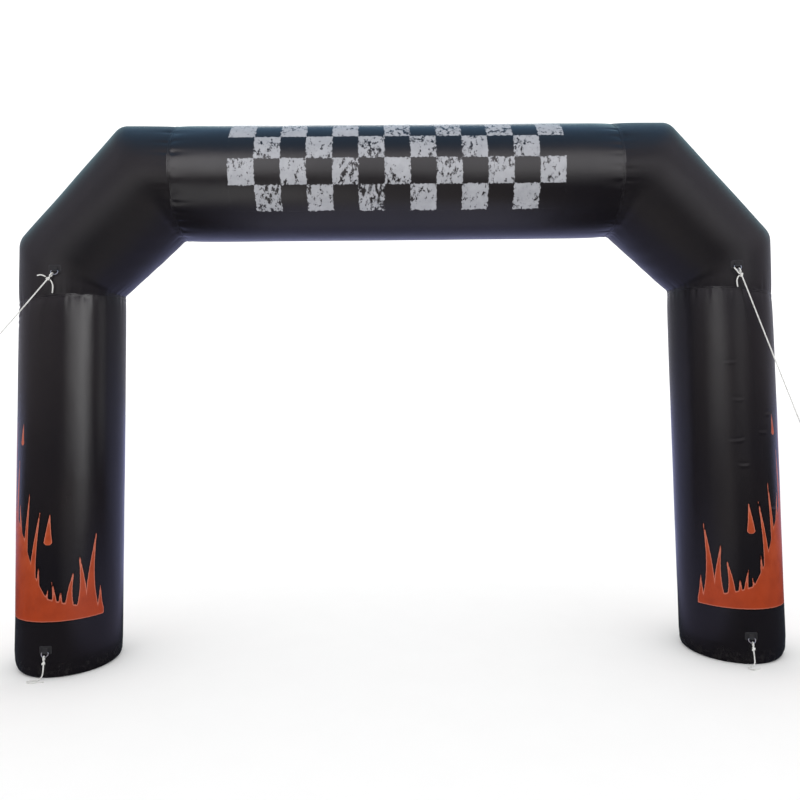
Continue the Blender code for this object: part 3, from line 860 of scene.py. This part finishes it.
def profile(table, share):
    places, values = zip(*table)
    return np.interp(share, places, values)


def creases(turn, height, side):
    """Depth of the small creases pressed into one leg."""
    depth = 0.0
    for crease_side, degrees, level, length, width, deep, slope in LEG_CREASES:
        if crease_side != side:
            continue
        arc = LEG_RADIUS * wrapped(turn - math.radians(degrees))
        off = height - level - slope * arc - 0.25 * arc ** 2 / length
        ends = np.exp(-(2.2 * arc / length) ** 4)
        dip = np.exp(-(off / width) ** 2) - 0.5 * np.exp(-((off - 1.9 * width) / width) ** 2)
        depth = depth + deep * ends * dip
    return depth


def slow_waves(turn, length, seed):
    """Slight unevenness of stretched cloth, in metres."""
    wave = np.sin(3.0 * turn + 2.1 * length + seed) * np.sin(2.3 * length + 1.1 * seed)
    finer = np.sin(5.0 * turn - 4.7 * length + 2.0 * seed) * np.sin(7.1 * length + 0.7 * seed)
    return 0.0009 * wave + 0.0005 * finer


def hem_folds(turn, height, side):
    """Depth of the short upright folds gathered above the floor."""
    wave = 0.5 + 0.36 * np.sin(23 * turn + side) + 0.25 * np.sin(41 * turn + 2.0 * side)
    return 0.0022 * np.maximum(0.0, wave) * np.exp(-((height - 0.045) / 0.050) ** 2)


def column_turns(count):
    return -math.pi + math.tau * np.arange(count) / count


def graded(total, first, step, growth):
    """Distances from an end: short steps that grow up to a full one."""
    places = [0.0]
    size = first
    while places[-1] + size < total:
        places.append(places[-1] + size)
        size = min(step, size * growth)
    return np.array(places)


def flame_depth(arc, height):
    """How deep a point lies inside the printed flames, in metres. Negative outside them."""
    folded = FLAME_FOLD - np.abs(FLAME_FOLD - arc)
    up = height - FLAME_BASE
    depth = 0.6 * (profile(FLAME_BODY, folded) - up)
    for root, half, tall, lean, sway in TONGUES:
        share = np.clip(up / tall, 0.0, 1.0)
        centre = root + lean * share ** 1.6 + sway * np.sin(math.pi * 1.3 * share)
        width = half * (1.0 - share) ** TONGUE_SHARPNESS * (0.68 + 0.32 * (1.0 - share) ** 3) - 0.003
        width = np.where(width < NARROWEST, CUT_OFF, width)
        depth = np.maximum(depth, np.minimum(width - np.abs(folded - centre), tall - up))
    for centre, half, low, high, lean in FLECKS:
        share = np.clip((up - low) / (high - low), 0.0, 1.0)
        width = half * np.minimum(1.0, 14.0 * share) ** 0.5 * (1.0 - share) ** 1.3 - 0.002
        width = np.where(width < NARROWEST, CUT_OFF, width)
        bend = centre + lean * share ** 1.7
        ends = np.minimum(up - low, high - up)
        depth = np.maximum(depth, np.minimum(width - np.abs(folded - bend), ends))
    return np.minimum(np.minimum(depth, up), folded - FLAME_EDGE)


def leg_heights():
    """Shares of the way from the hem's top to the seam, closer where the print and the seams are."""
    span = SEAM_HEIGHT - BODY_START
    top = span - graded(*LEG_SEAM_STEPS)[::-1]
    print_low, print_top = PRINT_ROWS
    low = np.arange(BODY_START, print_low, LOW_STEP)
    middle = np.arange(print_low, print_top, PRINT_STEP)
    high = np.arange(print_top, top[0] + BODY_START - 0.004, HIGH_STEP)
    heights = np.concatenate([low, middle, high, top + BODY_START])
    return (heights - BODY_START) / span


def make_leg(side, word, material):
    turns = column_turns(COLUMNS)
    hem = hem_size(turns)
    rows = []
    for degrees in np.linspace(0.0, 90.0, HEM_STEPS):
        angle = math.radians(degrees)
        height = hem * (1.0 - math.cos(angle))
        inset = HEM_INSET_SHARE * hem * (1.0 - math.sin(angle))
        rows.append((height, inset + hem_folds(turns, height, side) * math.sin(angle)))
    start = np.full(COLUMNS, BODY_START)
    for share in np.linspace(0.0, 1.0, 9)[1:-1]:
        height = hem + (start - hem) * share
        rows.append((height, hem_folds(turns, height, side) - BODY_START_SWELL * share))
    top = seam_height(turns)
    for share in leg_heights():
        height = start + (top - start) * share
        swell = profile(LEG_SWELL, height / top)
        sink = pucker(turns, top - height, side) - swell + creases(turns, height, side)
        sink = sink + LEG_PLEATS * pleats(turns, top - height, side)
        rows.append((height, sink + slow_waves(turns, height, side) + hem_folds(turns, height, side)))
    heights = np.array([height for height, sink in rows])
    sinks = np.array([sink for height, sink in rows])
    points = leg_point(turns[None, :], heights, sinks)
    points[..., 0] *= side
    mesh = grid_mesh("leg_%s_fabric" % word, points, turns * LEG_RADIUS, heights, flip=side < 0)
    arcs = LEG_RADIUS * np.where(turns < -math.pi / 2.0, turns + math.tau, turns)
    depth = flame_depth(np.broadcast_to(arcs, heights.shape), heights).reshape(-1)
    depth = np.append(depth, (-1.0, -1.0))   # the middles of the two ends
    layer = mesh.attributes.new(FLAME_FIELD, "FLOAT", "POINT")
    layer.data.foreach_set("value", depth.astype(np.float32))
    piece = finish_piece(mesh, material, ("leg_" + word,))


def lerp(first, last, share):
    return first + (last - first) * share


def curve_point(first, middle, last, step):
    return lerp(lerp(first, middle, step), lerp(middle, last, step), step)


def towards(start, end, reach):
    way = end - start
    return start + way / np.linalg.norm(way, axis=1, keepdims=True) * reach[:, None]


def elbow_paths(turns, sink):
    """Lines of a corner panel's skin from the leg's seam to the beam's: rows, columns, 3."""
    start = leg_point(turns, seam_height(turns) + SEAM_GAP, sink)
    low = oval(LOW_OUTER, LOW_INNER, LEG_RADIUS, turns, sink)
    high = oval(HIGH_OUTER, HIGH_INNER, BEAM_RADIUS, turns, sink)
    end = beam_point(turns, BEAM_SEAM_X + SEAM_GAP, sink)
    reach = FRONT_BEND_REACH + (BEND_REACH - FRONT_BEND_REACH) * np.abs(np.sin(turns)) ** 3
    low_reach = np.minimum(reach, BEND_SHARE * np.linalg.norm(low - start, axis=1))
    high_reach = np.minimum(reach, BEND_SHARE * np.linalg.norm(end - high, axis=1))
    low_from = towards(low, start, low_reach)
    low_to = towards(low, high, low_reach)
    high_from = towards(high, low, high_reach)
    high_to = towards(high, end, high_reach)
    stub = np.linspace(0.0, 1.0, STUB_ROWS) ** STUB_GRADE
    bend = np.linspace(0.0, 1.0, BEND_ROWS)
    rows = [lerp(start, low_from, share) for share in stub[:-1]]
    rows += [curve_point(low_from, low, low_to, step) for step in bend]
    rows += [lerp(low_to, high_from, share) for share in np.linspace(0.0, 1.0, DIAGONAL_ROWS)[1:-1]]
    rows += [curve_point(high_from, high, high_to, step) for step in bend]
    rows += [lerp(end, high_to, share) for share in stub[::-1][1:]]
    return np.array(rows)


def bend_folds(turns, walked, total, side):
    """Depth of the soft folds that the two bends press into the inner side."""
    inner = np.maximum(0.0, -np.sin(turns)) ** 3
    outer = np.maximum(0.0, np.sin(turns)) ** 4
    middle = walked / total
    crush = np.sin(38.0 * walked + 1.4 * np.sin(5.0 * turns + side)) * np.exp(-((middle - 0.5) / 0.33) ** 2)
    ripples = np.sin(17.0 * turns + 9.0 * walked + side) * np.exp(-((middle - 0.30) / 0.22) ** 2)
    return 0.0009 * inner * crush + 0.0008 * outer * ripples


def make_elbow(side, word, material):
    turns = column_turns(COLUMNS)
    full = elbow_paths(turns, 0.0)
    sunk = elbow_paths(turns, PUCKER_DEPTH)
    steps = np.linalg.norm(np.diff(full, axis=0), axis=2)
    walked = np.vstack([np.zeros(COLUMNS), np.cumsum(steps, axis=0)])
    total = walked[-1]
    folds = pucker(turns, walked, side) + pucker(turns, total - walked, 3 + side)
    folds = folds + bend_folds(turns, walked, total, side) + ELBOW_WAVES * slow_waves(turns, walked, 5 + side)
    low_share, high_share = ELBOW_PLEATS
    folds = folds + low_share * pleats(turns, walked, 2 + side)
    folds = folds + high_share * pleats(turns, total - walked, 7 + side)
    points = lerp(full, sunk, (folds / PUCKER_DEPTH)[..., None])
    points[..., 0] *= side
    mesh = grid_mesh("elbow_%s_fabric" % word, points, turns * LEG_RADIUS, walked, flip=side < 0)
    piece = finish_piece(mesh, material, ("elbow_" + word,))


def make_beam(material):
    turns = column_turns(COLUMNS)
    ends = graded(*BEAM_SEAM_STEPS)
    middle = np.arange(-(BEAM_SEAM_X - BEAM_STEPS_START), BEAM_SEAM_X - BEAM_STEPS_START, BEAM_STEP)
    places = np.concatenate([-BEAM_SEAM_X + ends, middle, (BEAM_SEAM_X - ends)[::-1]])
    places = places[:, None]
    side = np.where(places > 0.0, 1, -1)
    away = BEAM_SEAM_X - np.abs(places)
    swell = profile(BEAM_SWELL, np.abs(places) / BEAM_SEAM_X)
    sink = pucker(turns[None, :], away, 3 + side) - swell + slow_waves(turns[None, :], places, 2.5)
    sink = sink + pleats(turns[None, :], away, 4 + side)
    points = beam_point(turns[None, :], places, sink)
    along = np.broadcast_to(places, points.shape[:2])
    mesh = grid_mesh("beam_fabric", points, turns * BEAM_RADIUS, along, flip=True)
    piece = finish_piece(mesh, material, ("beam",))


# Seam tapes with their two rows of stitches


def leg_seam_point(turn, off, lift, side):
    sink = pucker(turn, abs(off), side) - lift
    points = leg_point(turn, seam_height(turn) + off, sink)
    points[..., 0] *= side
    return points


def beam_seam_point(turn, off, lift, side):
    sink = pucker(turn, abs(off), 3 + side) - lift
    return beam_point(turn, np.full(turn.shape, side * (BEAM_SEAM_X + off)), sink)


def make_tape(name, seam_point, side, radius, flip, tape, thread):
    turns = column_turns(COLUMNS)
    rows = [seam_point(turns, TAPE_HALF_WIDTH * share, TAPE_LIFT * lift, side) for share, lift in TAPE_SECTION]
    offs = np.array([TAPE_HALF_WIDTH * share for share, lift in TAPE_SECTION])
    along = np.repeat(offs[:, None], COLUMNS, axis=1)
    mesh = grid_mesh(name, np.array(rows), turns * radius, along, flip=flip, ends=False)
    finish_piece(mesh, tape)
    count = int(math.tau * radius / STITCH_PITCH)
    places = -math.pi + math.tau * np.arange(count) / count
    rows = []
    for off in STITCH_ROWS:
        here = seam_point(places, off, STITCH_LIFT, side)
        above = seam_point(places, off, STITCH_LIFT + 0.01, side)
        ahead = seam_point(places + 0.002, off, STITCH_LIFT, side)
        way = ahead - here
        way /= np.linalg.norm(way, axis=1, keepdims=True)
        out = above - here
        out /= np.linalg.norm(out, axis=1, keepdims=True)
        rows.append(list(zip(here, way, out)))
    finish_piece(stitches_mesh(name + "_stitches", rows), thread)


# Tie points


def tie_frame(side, shift, height, swell):
    azimuth = -side * math.asin(shift / LEG_RADIUS)
    centre = Vector((side * leg_axis_x(height), 0.0, height))
    turn = Matrix.Rotation(azimuth, 4, "Z")
    return Matrix.Translation(centre) @ turn @ Matrix.Translation((0.0, -LEG_RADIUS - swell, 0.0))


def bar_depth():
    return 2.0 * TOUCH_GAP + PATCH_THICKNESS + WIRE_HOLE_RADIUS + WEBBING_THICKNESS


def ring_point(x, down):
    return Vector((x, -bar_depth() - down * math.sin(RING_TILT), -down * math.cos(RING_TILT)))


def ring_path():
    """The D-ring's wire, with rounded shoulders."""
    corner = RING_CORNER
    flat = [(x, 0.0) for x in np.linspace(corner - RING_HALF_WIDTH, RING_HALF_WIDTH - corner, 14)]
    for angle in map(math.radians, range(15, 90, 15)):
        flat.append((RING_HALF_WIDTH - corner * (1.0 - math.sin(angle)), corner * (1.0 - math.cos(angle))))
    for angle in map(math.radians, range(0, 181, 6)):
        flat.append((RING_HALF_WIDTH * math.cos(angle), RING_SHOULDER + RING_HALF_WIDTH * math.sin(angle)))
    for angle in map(math.radians, range(75, 0, -15)):
        flat.append((corner * (1.0 - math.sin(angle)) - RING_HALF_WIDTH, corner * (1.0 - math.cos(angle))))
    return [ring_point(x, down) for x, down in flat]


def pulled_place(way):
    down_way = (ring_point(0.0, 1.0) - ring_point(0.0, 0.0)).dot(way)
    angle = math.atan2(way.x, down_way)
    place = ring_point(RING_HALF_WIDTH * math.sin(angle), RING_SHOULDER + RING_HALF_WIDTH * math.cos(angle))
    along = ring_point(math.cos(angle), -math.sin(angle)) - ring_point(0.0, 0.0)
    return place, along


def loop_path(at, way, axle, half_width, reach):
    """A loop of cord: two half turns and the straight sides between them."""
    across = way.cross(axle).normalized()
    path = []
    for centre, start in ((at, 90), (at + way * reach, -90)):
        for angle in map(math.radians, range(start, start + 181, 12)):
            path.append(centre + half_width * (math.cos(angle) * way + math.sin(angle) * across))
    filled = []
    for first, last in zip(path, path[1:] + path[:1]):
        count = max(1, round((last - first).length / LOOP_STEP))
        filled += [first.lerp(last, part / count) for part in range(count)]
    return filled


def smooth_route(points, step):
    """A smooth line through the points, in equal steps."""
    route = [Vector(point) for point in points]
    ends = [2.0 * route[0] - route[1]] + route + [2.0 * route[-1] - route[-2]]
    fine = []
    for index in range(1, len(ends) - 2):
        before, first, last, after = ends[index - 1:index + 3]
        for part in range(16):
            share = part / 16.0
            pull = (last - before) * 0.5
            leave = (after - first) * 0.5
            cube = share ** 3
            square = share ** 2
            fine.append((2.0 * cube - 3.0 * square + 1.0) * first + (cube - 2.0 * square + share) * pull
                        + (3.0 * square - 2.0 * cube) * last + (cube - square) * leave)
    fine.append(route[-1])
    lengths = [0.0]
    for first, last in zip(fine, fine[1:]):
        lengths.append(lengths[-1] + (last - first).length)
    count = max(2, math.ceil(lengths[-1] / step))
    spaced = []
    place = 0
    for number in range(count + 1):
        target = lengths[-1] * number / count
        while place < len(fine) - 2 and lengths[place + 1] < target:
            place += 1
        span = lengths[place + 1] - lengths[place]
        spaced.append(fine[place].lerp(fine[place + 1], (target - lengths[place]) / span))
    return spaced


def on_leg(x, up, lift):
    """A point at a lift over a leg's skin, from the tie point's frame."""
    angle = x / LEG_RADIUS
    reach = LEG_RADIUS + TOUCH_GAP + lift
    return Vector((reach * math.sin(angle), LEG_RADIUS - reach * math.cos(angle), up + WEBBING_LENGTH / 2.0))


def patch_outline(half_wide, half_high):
    outline = []
    for side, end, start in ((1, 1, 0), (-1, 1, 90), (-1, -1, 180), (1, -1, 270)):
        for angle in map(math.radians, range(start, start + 91, 15)):
            outline.append((side * (half_wide - PATCH_CORNER) + PATCH_CORNER * math.cos(angle),
                            end * (half_high - PATCH_CORNER) + PATCH_CORNER * math.sin(angle)))
    return refine(outline, PATCH_STEP)


def make_patch(name, seat, material, thread):
    """Reinforcing patch curved round the leg, with two rows of stitches along its edge."""
    half_wide = PATCH_WIDTH / 2.0
    half_high = PATCH_HEIGHT / 2.0
    outline = patch_outline(half_wide, half_high)
    rows = [[on_leg(size * x, size * up, lift * PATCH_THICKNESS) for x, up in outline]
            for size, lift in PATCH_SECTION]
    around = np.arange(len(outline)) * PATCH_STEP
    along = np.array([[size * up for x, up in outline] for size, lift in PATCH_SECTION])
    mesh = grid_mesh("patch_%s_cloth" % name, np.array(rows), around, along)
    layer = mesh.uv_layers[UV_NAME].data
    for loop in mesh.loops:
        point = mesh.vertices[loop.vertex_index].co
        layer[loop.index].uv = (point.x, point.z)
    mesh.transform(seat)
    piece = finish_piece(mesh, material, ("patch_" + name,))
    turned = seat.to_3x3()
    rows = []
    for inset in PATCH_STITCH_INSETS:
        size_x = 1.0 - inset / half_wide
        size_y = 1.0 - inset / half_high
        line = refine([(size_x * x, size_y * up) for x, up in outline], PATCH_STEP)
        row = []
        for first, after in zip(line, line[1:] + line[:1]):
            here = on_leg(*first, PATCH_THICKNESS + STITCH_CLEAR)
            way = on_leg(*after, PATCH_THICKNESS + STITCH_CLEAR) - here
            angle = first[0] / LEG_RADIUS
            out = Vector((math.sin(angle), -math.cos(angle), 0.0))
            way = (turned @ way).normalized()
            row.append((np.array(seat @ here), np.array(way), np.array(turned @ out)))
        rows.append(row)
    stitches = finish_piece(stitches_mesh("patch_%s_stitches" % name, rows), thread)


def refine(line, step):
    """A closed line with points about a step apart."""
    finer = []
    for (x, y), (next_x, next_y) in zip(line, line[1:] + line[:1]):
        count = max(1, round(math.hypot(next_x - x, next_y - y) / step))
        for part in range(count):
            finer.append((x + (next_x - x) * part / count, y + (next_y - y) * part / count))
    return finer


def webbing_line():
    """The strap's middle line, seen from its edge: out from the ring's bar and up."""
    middle = WIRE_HOLE_RADIUS + WEBBING_THICKNESS / 2.0
    back = -middle
    line = [(back + WEBBING_THICKNESS, WEBBING_LENGTH - part * WEBBING_LENGTH / WEBBING_STEPS * 0.72)
            for part in range(WEBBING_STEPS + 1)]
    out, up = line[-1]
    line += [(out + (middle - out) * share ** 1.4, up * (1.0 - share)) for share in (0.25, 0.5, 0.75)]
    line += [(middle * math.cos(angle), middle * math.sin(angle))
             for angle in map(math.radians, range(0, -181, -15))]
    return line + [(back, WEBBING_LENGTH * part / WEBBING_STEPS) for part in range(1, WEBBING_STEPS + 1)]


def make_webbing(name, seat, material, thread):
    """Strap folded round the ring's bar, both ends sewn to the patch with a box of stitches."""
    line = webbing_line()
    half = WEBBING_THICKNESS / 2.0 * 0.96
    wide = WEBBING_WIDTH / 2.0
    section = [(-wide, 0.0), (-wide + 0.0006, 0.75), (-wide + 0.0022, 1.0)]
    section += [(x, 1.0) for x in np.linspace(-wide + 0.005, wide - 0.005, 9)]
    section += [(wide - 0.0022, 1.0), (wide - 0.0006, 0.75), (wide, 0.0)]
    section += [(x, -side) for x, side in reversed(section[1:-1])]
    rows = []
    reach = [0.0]
    for index, (out, up) in enumerate(line):
        before = line[max(0, index - 1)]
        after = line[min(len(line) - 1, index + 1)]
        way = Vector((after[0] - before[0], after[1] - before[1])).normalized()
        if index:
            reach.append(reach[-1] + math.hypot(out - before[0], up - before[1]))
        rows.append([(x, -bar_depth() - (out + way.y * half * lift), up - way.x * half * lift)
                     for x, lift in section])
    along = np.repeat(np.array(reach)[:, None], len(section), axis=1)
    around = np.arange(len(section)) * 0.0035
    mesh = grid_mesh("webbing_%s_strap" % name, np.array(rows), around, along, flip=True)
    layer = mesh.uv_layers[UV_NAME].data
    for loop in mesh.loops:
        layer[loop.index].uv[0] = mesh.vertices[loop.vertex_index].co.x
    mesh.transform(seat)
    piece = finish_piece(mesh, material, ("webbing_" + name,))
    turned = seat.to_3x3()
    back = -(WIRE_HOLE_RADIUS + WEBBING_THICKNESS / 2.0)
    face = -bar_depth() - (back + WEBBING_THICKNESS * 1.5) - STITCH_CLEAR
    x = wide - WEBBING_INSET
    top = WEBBING_LENGTH - 0.003
    box = [(-x, WEBBING_BOX_LOW), (x, WEBBING_BOX_LOW), (x, top), (-x, top)]
    lines = [refine(box, WEBBING_STITCH_PITCH)]
    for first, last in ((box[0], box[2]), (box[1], box[3])):
        lines.append([lerp(np.array(first), np.array(last), part / 8.0) for part in range(9)])
    out = np.array(turned @ Vector((0, -1, 0)))
    rows = []
    for line in lines:
        row = []
        for (x, up), (next_x, next_up) in zip(line, line[1:]):
            way = turned @ Vector((next_x - x, 0.0, next_up - up)).normalized()
            row.append((np.array(seat @ Vector((x, face, up))), np.array(way), out))
        rows.append(row)
    stitches = finish_piece(stitches_mesh("webbing_%s_stitches" % name, rows), thread)


def knot_paths(start, way):
    """A tight overhand knot: one three-lobed turn of the cord, and the straight cord through it."""
    side = way.orthogonal().normalized()
    other = way.cross(side)
    middle = start + way * KNOT_LENGTH / 2.0
    scale = (KNOT_RADIUS - CORD_DIAMETER / 2.0) / 3.0 * LOBE_SPREAD
    lobes = []
    for step in range(LOBE_STEPS):
        turn = math.tau * step / LOBE_STEPS
        x = math.sin(turn) + 2.0 * math.sin(2.0 * turn)
        y = math.cos(turn) - 2.0 * math.cos(2.0 * turn)
        lift = -math.sin(3.0 * turn) * LOBE_LIFT + LOBE_LEAN * math.sin(turn + 0.8)
        lobes.append(middle + scale * (x * side + y * other) + way * lift)
    neck = [start + way * KNOT_LENGTH * part / 8.0 for part in range(9)]
    return lobes, neck


def make_knot(name, node, start, way, material):
    lobes, neck = knot_paths(start, way)
    thick = CORD_DIAMETER / 2.0
    meshes = [tube_mesh("lobes", lobes, thick, KNOT_SIDES, closed=True),
              tube_mesh("neck", neck, thick * 0.98, KNOT_SIDES)]
    return finish_piece(join_meshes(name, meshes), material, (node,))


def make_loop(name, node, path, material):
    mesh = tube_mesh(name, path, CORD_DIAMETER / 2.0, KNOT_SIDES, closed=True)
    return finish_piece(mesh, material, (node,))


def make_cord(name, node, route, step, material):
    path = smooth_route(route, step)
    mesh = tube_mesh(name, path, CORD_DIAMETER / 2.0, CORD_SIDES)
    return finish_piece(mesh, material, (node,)), path


def make_guy(word, start, way, end, material):
    """The taut cord from the elbow's knot to a knotted eye at its far end."""
    begin = start + way * (KNOT_LENGTH + TOUCH_GAP)
    middle = begin.lerp(end, 0.5) - Vector((0.0, 0.0, GUY_SAG))
    cord, path = make_cord("guy_%s_cord" % word, "guy_" + word, (begin, middle, end), CORD_STEP, material)
    along = (end - middle).normalized()
    tip = end + along * TOUCH_GAP
    knot = make_knot("guy_knot_%s_rope" % word, "guy_knot_" + word, tip, along, material)
    eye = end + along * (2.0 * TOUCH_GAP + KNOT_LENGTH + CORD_DIAMETER / 2.0 + EYE_HALF_WIDTH)
    loop = loop_path(eye, along, Vector((0.0, 1.0, 0.0)), EYE_HALF_WIDTH, EYE_REACH)
    ring = make_loop("guy_eye_%s_rope" % word, "guy_eye_" + word, loop, material)


def make_ties(materials):
    patch, webbing, steel, cord, thread = materials
    middles = {}
    for name, side, shift, height, swell, direction in TIES:
        way = Vector(direction).normalized()
        seat = tie_frame(side, shift, height, swell)
        make_patch(name, seat, patch, thread)
        make_webbing(name, seat, webbing, thread)
        mesh = tube_mesh("ring_%s_wire" % name, ring_path(), WIRE_RADIUS, CORD_SIDES, closed=True)
        mesh.transform(seat)
        finish_piece(mesh, steel, ("ring_" + name,))
        turned = seat.to_3x3()
        place, along = pulled_place(turned.inverted() @ way)
        place = seat @ place
        path = loop_path(place, way, turned @ along, HITCH_HALF_WIDTH, HITCH_REACH)
        hitch = make_loop("hitch_%s_rope" % name, "hitch_" + name, path, cord)
        start = place + way * (HITCH_REACH + HITCH_HALF_WIDTH + CORD_DIAMETER / 2.0 + TOUCH_GAP)
        knot = make_knot("knot_%s_rope" % name, "knot_" + name, start, way, cord)
        middles[name] = start + way * KNOT_LENGTH / 2.0
        if name in GUY_ENDS:
            make_guy(name.split("_")[1], start, way, Vector(GUY_ENDS[name]), cord)
        else:
            below = start + way * (KNOT_LENGTH + TOUCH_GAP)
            route = (below, *FOOT_ROUTES[name])
            foot, path = make_cord("cord_%s_rope" % name, "cord_" + name, route, CORD_STEP, cord)
    for name, tie, points in TAILS:
        route = [middles[tie] + Vector(point) for point in points]
        tail, path = make_cord(name + "_rope", name, route, TAIL_STEP, cord)


# Studio


def make_floor():
    """A white floor. The glossy cloth mirrors it as if it were a dimmer one."""
    mesh = bpy.data.meshes.new("studio_floor")
    size = FLOOR_HALF_SIZE
    mesh.from_pydata([(-size, -size, 0.0), (size, -size, 0.0), (size, size, 0.0), (-size, size, 0.0)], [],
                     [(0, 1, 2, 3)])
    material, tree, shader, place = new_material("studio_floor_paint")
    paint = blend_colours(tree, noise(tree, place, 3.0, 4.0), *FLOOR_PAINT)
    parts = split(tree, place)
    behind = smooth_step(tree, parts["Y"], -0.5, 0.5)
    far = smooth_step(tree, maths(tree, "ABSOLUTE", parts["Y"]), 0.8, 3.6)
    aside = smooth_step(tree, maths(tree, "ABSOLUTE", parts["X"]), 1.7, 2.2)
    near = blend_colours(tree, aside, FLOOR_MIDDLE, FLOOR_FEET)
    front = blend_colours(tree, aside, FLOOR_FRONT, FLOOR_ASIDE)
    dim = blend_colours(tree, far, near, blend_colours(tree, behind, front, FLOOR_BACK))
    mirrored = add_node(tree, "LightPath").outputs["Is Glossy Ray"]
    feed(tree, shader.inputs["Base Color"], blend_colours(tree, mirrored, paint, dim))
    set_values(shader, {"Roughness": 1.0, "Specular IOR Level": 0.0})
    mesh.materials.append(material)
    floor = bpy.data.objects.new("studio_floor", mesh)
    bpy.context.scene.collection.objects.link(floor)


def make_world():
    """White studio round the object. What the glossy cloth mirrors is a dimmer room, blue overhead."""
    world = bpy.data.worlds.new("studio")
    bpy.context.scene.world = world
    world.use_nodes = True
    world.cycles.sampling_method = "NONE"
    tree = world.node_tree
    tree.nodes.clear()
    ways = add_node(tree, "TexCoord").outputs["Generated"]
    way = split(tree, ways)
    lift = maths(tree, "ARCSINE", way["Z"])
    aside = maths(tree, "ABSOLUTE", maths(tree, "ARCTAN2", way["X"], times(tree, way["Y"], -1.0)))

    def passed(angle, low, high):
        return smooth_step(tree, angle, math.radians(low), math.radians(high))

    front = blend_colours(tree, passed(lift, 9.0, 16.0), ROOM_FRONT, ROOM_HIGH)
    back = blend_colours(tree, passed(lift, 10.0, 26.0), ROOM_BACK, ROOM_BACK_HIGH)
    cloudy = smooth_step(tree, noise(tree, ways, 3.2, 3.0, 0.5), 0.40, 0.66)
    front = blend_colours(tree, cloudy, front, ROOM_CLOUD)
    room = blend_colours(tree, passed(aside, 50.0, 95.0), front, ROOM_SIDE)
    room = blend_colours(tree, passed(aside, 95.0, 125.0), room, back)
    level = between(tree, lift, *map(math.radians, (14.0, 46.0, 5.0)))
    room = blend_colours(tree, times(tree, passed(aside, 160.0, 170.0), level), room, ROOM_HORIZON)
    room = blend_colours(tree, passed(lift, 40.0, 62.0), room, ROOM_ZENITH)
    mirrored = add_node(tree, "Background")
    feed(tree, mirrored.inputs["Color"], room)
    plain = add_node(tree, "Background")
    set_values(plain, {"Color": (1.0, 1.0, 1.0, 1.0), "Strength": WORLD_STRENGTH})
    rays = add_node(tree, "LightPath")
    both = add_node(tree, "MixShader")
    feed(tree, both.inputs[0], rays.outputs["Is Glossy Ray"])
    feed(tree, both.inputs[1], plain.outputs[0])
    feed(tree, both.inputs[2], mirrored.outputs[0])
    output = add_node(tree, "OutputWorld")
    feed(tree, output.inputs["Surface"], both.outputs[0])


def add_panel_light(name, aim, distance, bearing, lift, width, height, radiance, receivers):
    """A soft panel that only the gloss of some pieces mirrors. One from below is tinted."""
    light = bpy.data.lights.new(name, "AREA")
    light.shape = "RECTANGLE"
    light.size = width
    light.size_y = height
    light.energy = radiance * math.pi * width * height
    if lift < -1.0:
        light.color = UNDER_TINT
    holder = bpy.data.objects.new(name, light)
    way = Vector((math.sin(bearing) * math.cos(lift), -math.cos(bearing) * math.cos(lift), math.sin(lift)))
    holder.location = aim + way * distance
    holder.rotation_euler = (-way).to_track_quat("-Z", "Y").to_euler()
    holder.visible_camera = False
    holder.visible_diffuse = False
    bpy.context.scene.collection.objects.link(holder)
    group = bpy.data.collections.new(name + "_receivers")
    for receiver in receivers:
        group.objects.link(bpy.data.objects[receiver])
    holder.light_linking.receiver_collection = group


def make_lights():
    """The panels for the bands of gloss."""
    for number, (receivers, aim, distance, bearings, levels, radiance) in enumerate(PANELS):
        low, high = levels
        width = 2.0 * distance * math.tan(math.radians(bearings[1] - bearings[0]) / 2.0)
        bearing = math.radians(sum(bearings) / 2.0)
        aim = Vector(aim)
        if receivers[0].startswith("leg_"):
            lift = 0.0
            height = high - low
            aim.z = (high + low) / 2.0
        else:
            lift = math.radians((low + high) / 2.0)
            height = 2.0 * distance * math.tan(math.radians(high - low) / 2.0)
        add_panel_light("panel_%d" % number, aim, distance, bearing, lift, width, height, radiance,
                        receivers)


def make_fabrics():
    flames = coated_fabric("leg_cloth_printed", flame_print)
    plain = coated_fabric("elbow_cloth", matt=ELBOW_MATT)
    chequered = coated_fabric("beam_cloth_printed", chequer_print)
    for side, word in ((-1, "left"), (1, "right")):
        make_leg(side, word, flames)
        make_elbow(side, word, plain)
    make_beam(chequered)


def make_seams(thread):
    tape = coated_fabric("seam_tape_cloth")
    for side, word in ((-1, "left"), (1, "right")):
        make_tape("seam_leg_" + word, leg_seam_point, side, LEG_RADIUS, side < 0, tape, thread)
        make_tape("seam_beam_" + word, beam_seam_point, side, BEAM_RADIUS, side > 0, tape, thread)


make_camera()
THREAD = stitch_material()
PATCH = woven_material("patch_weave", PATCH_COLOURS, 0.0008, 0.00015, 0.50)
WEBBING = woven_material("webbing_weave", WEBBING_COLOURS, 0.0014, 0.0004, 0.72)
make_ties((PATCH, WEBBING, steel_material(), cord_material(), THREAD))
make_fabrics()
make_seams(THREAD)
make_floor()
make_world()
make_lights()
bpy.context.scene.view_settings.view_transform = "Standard"
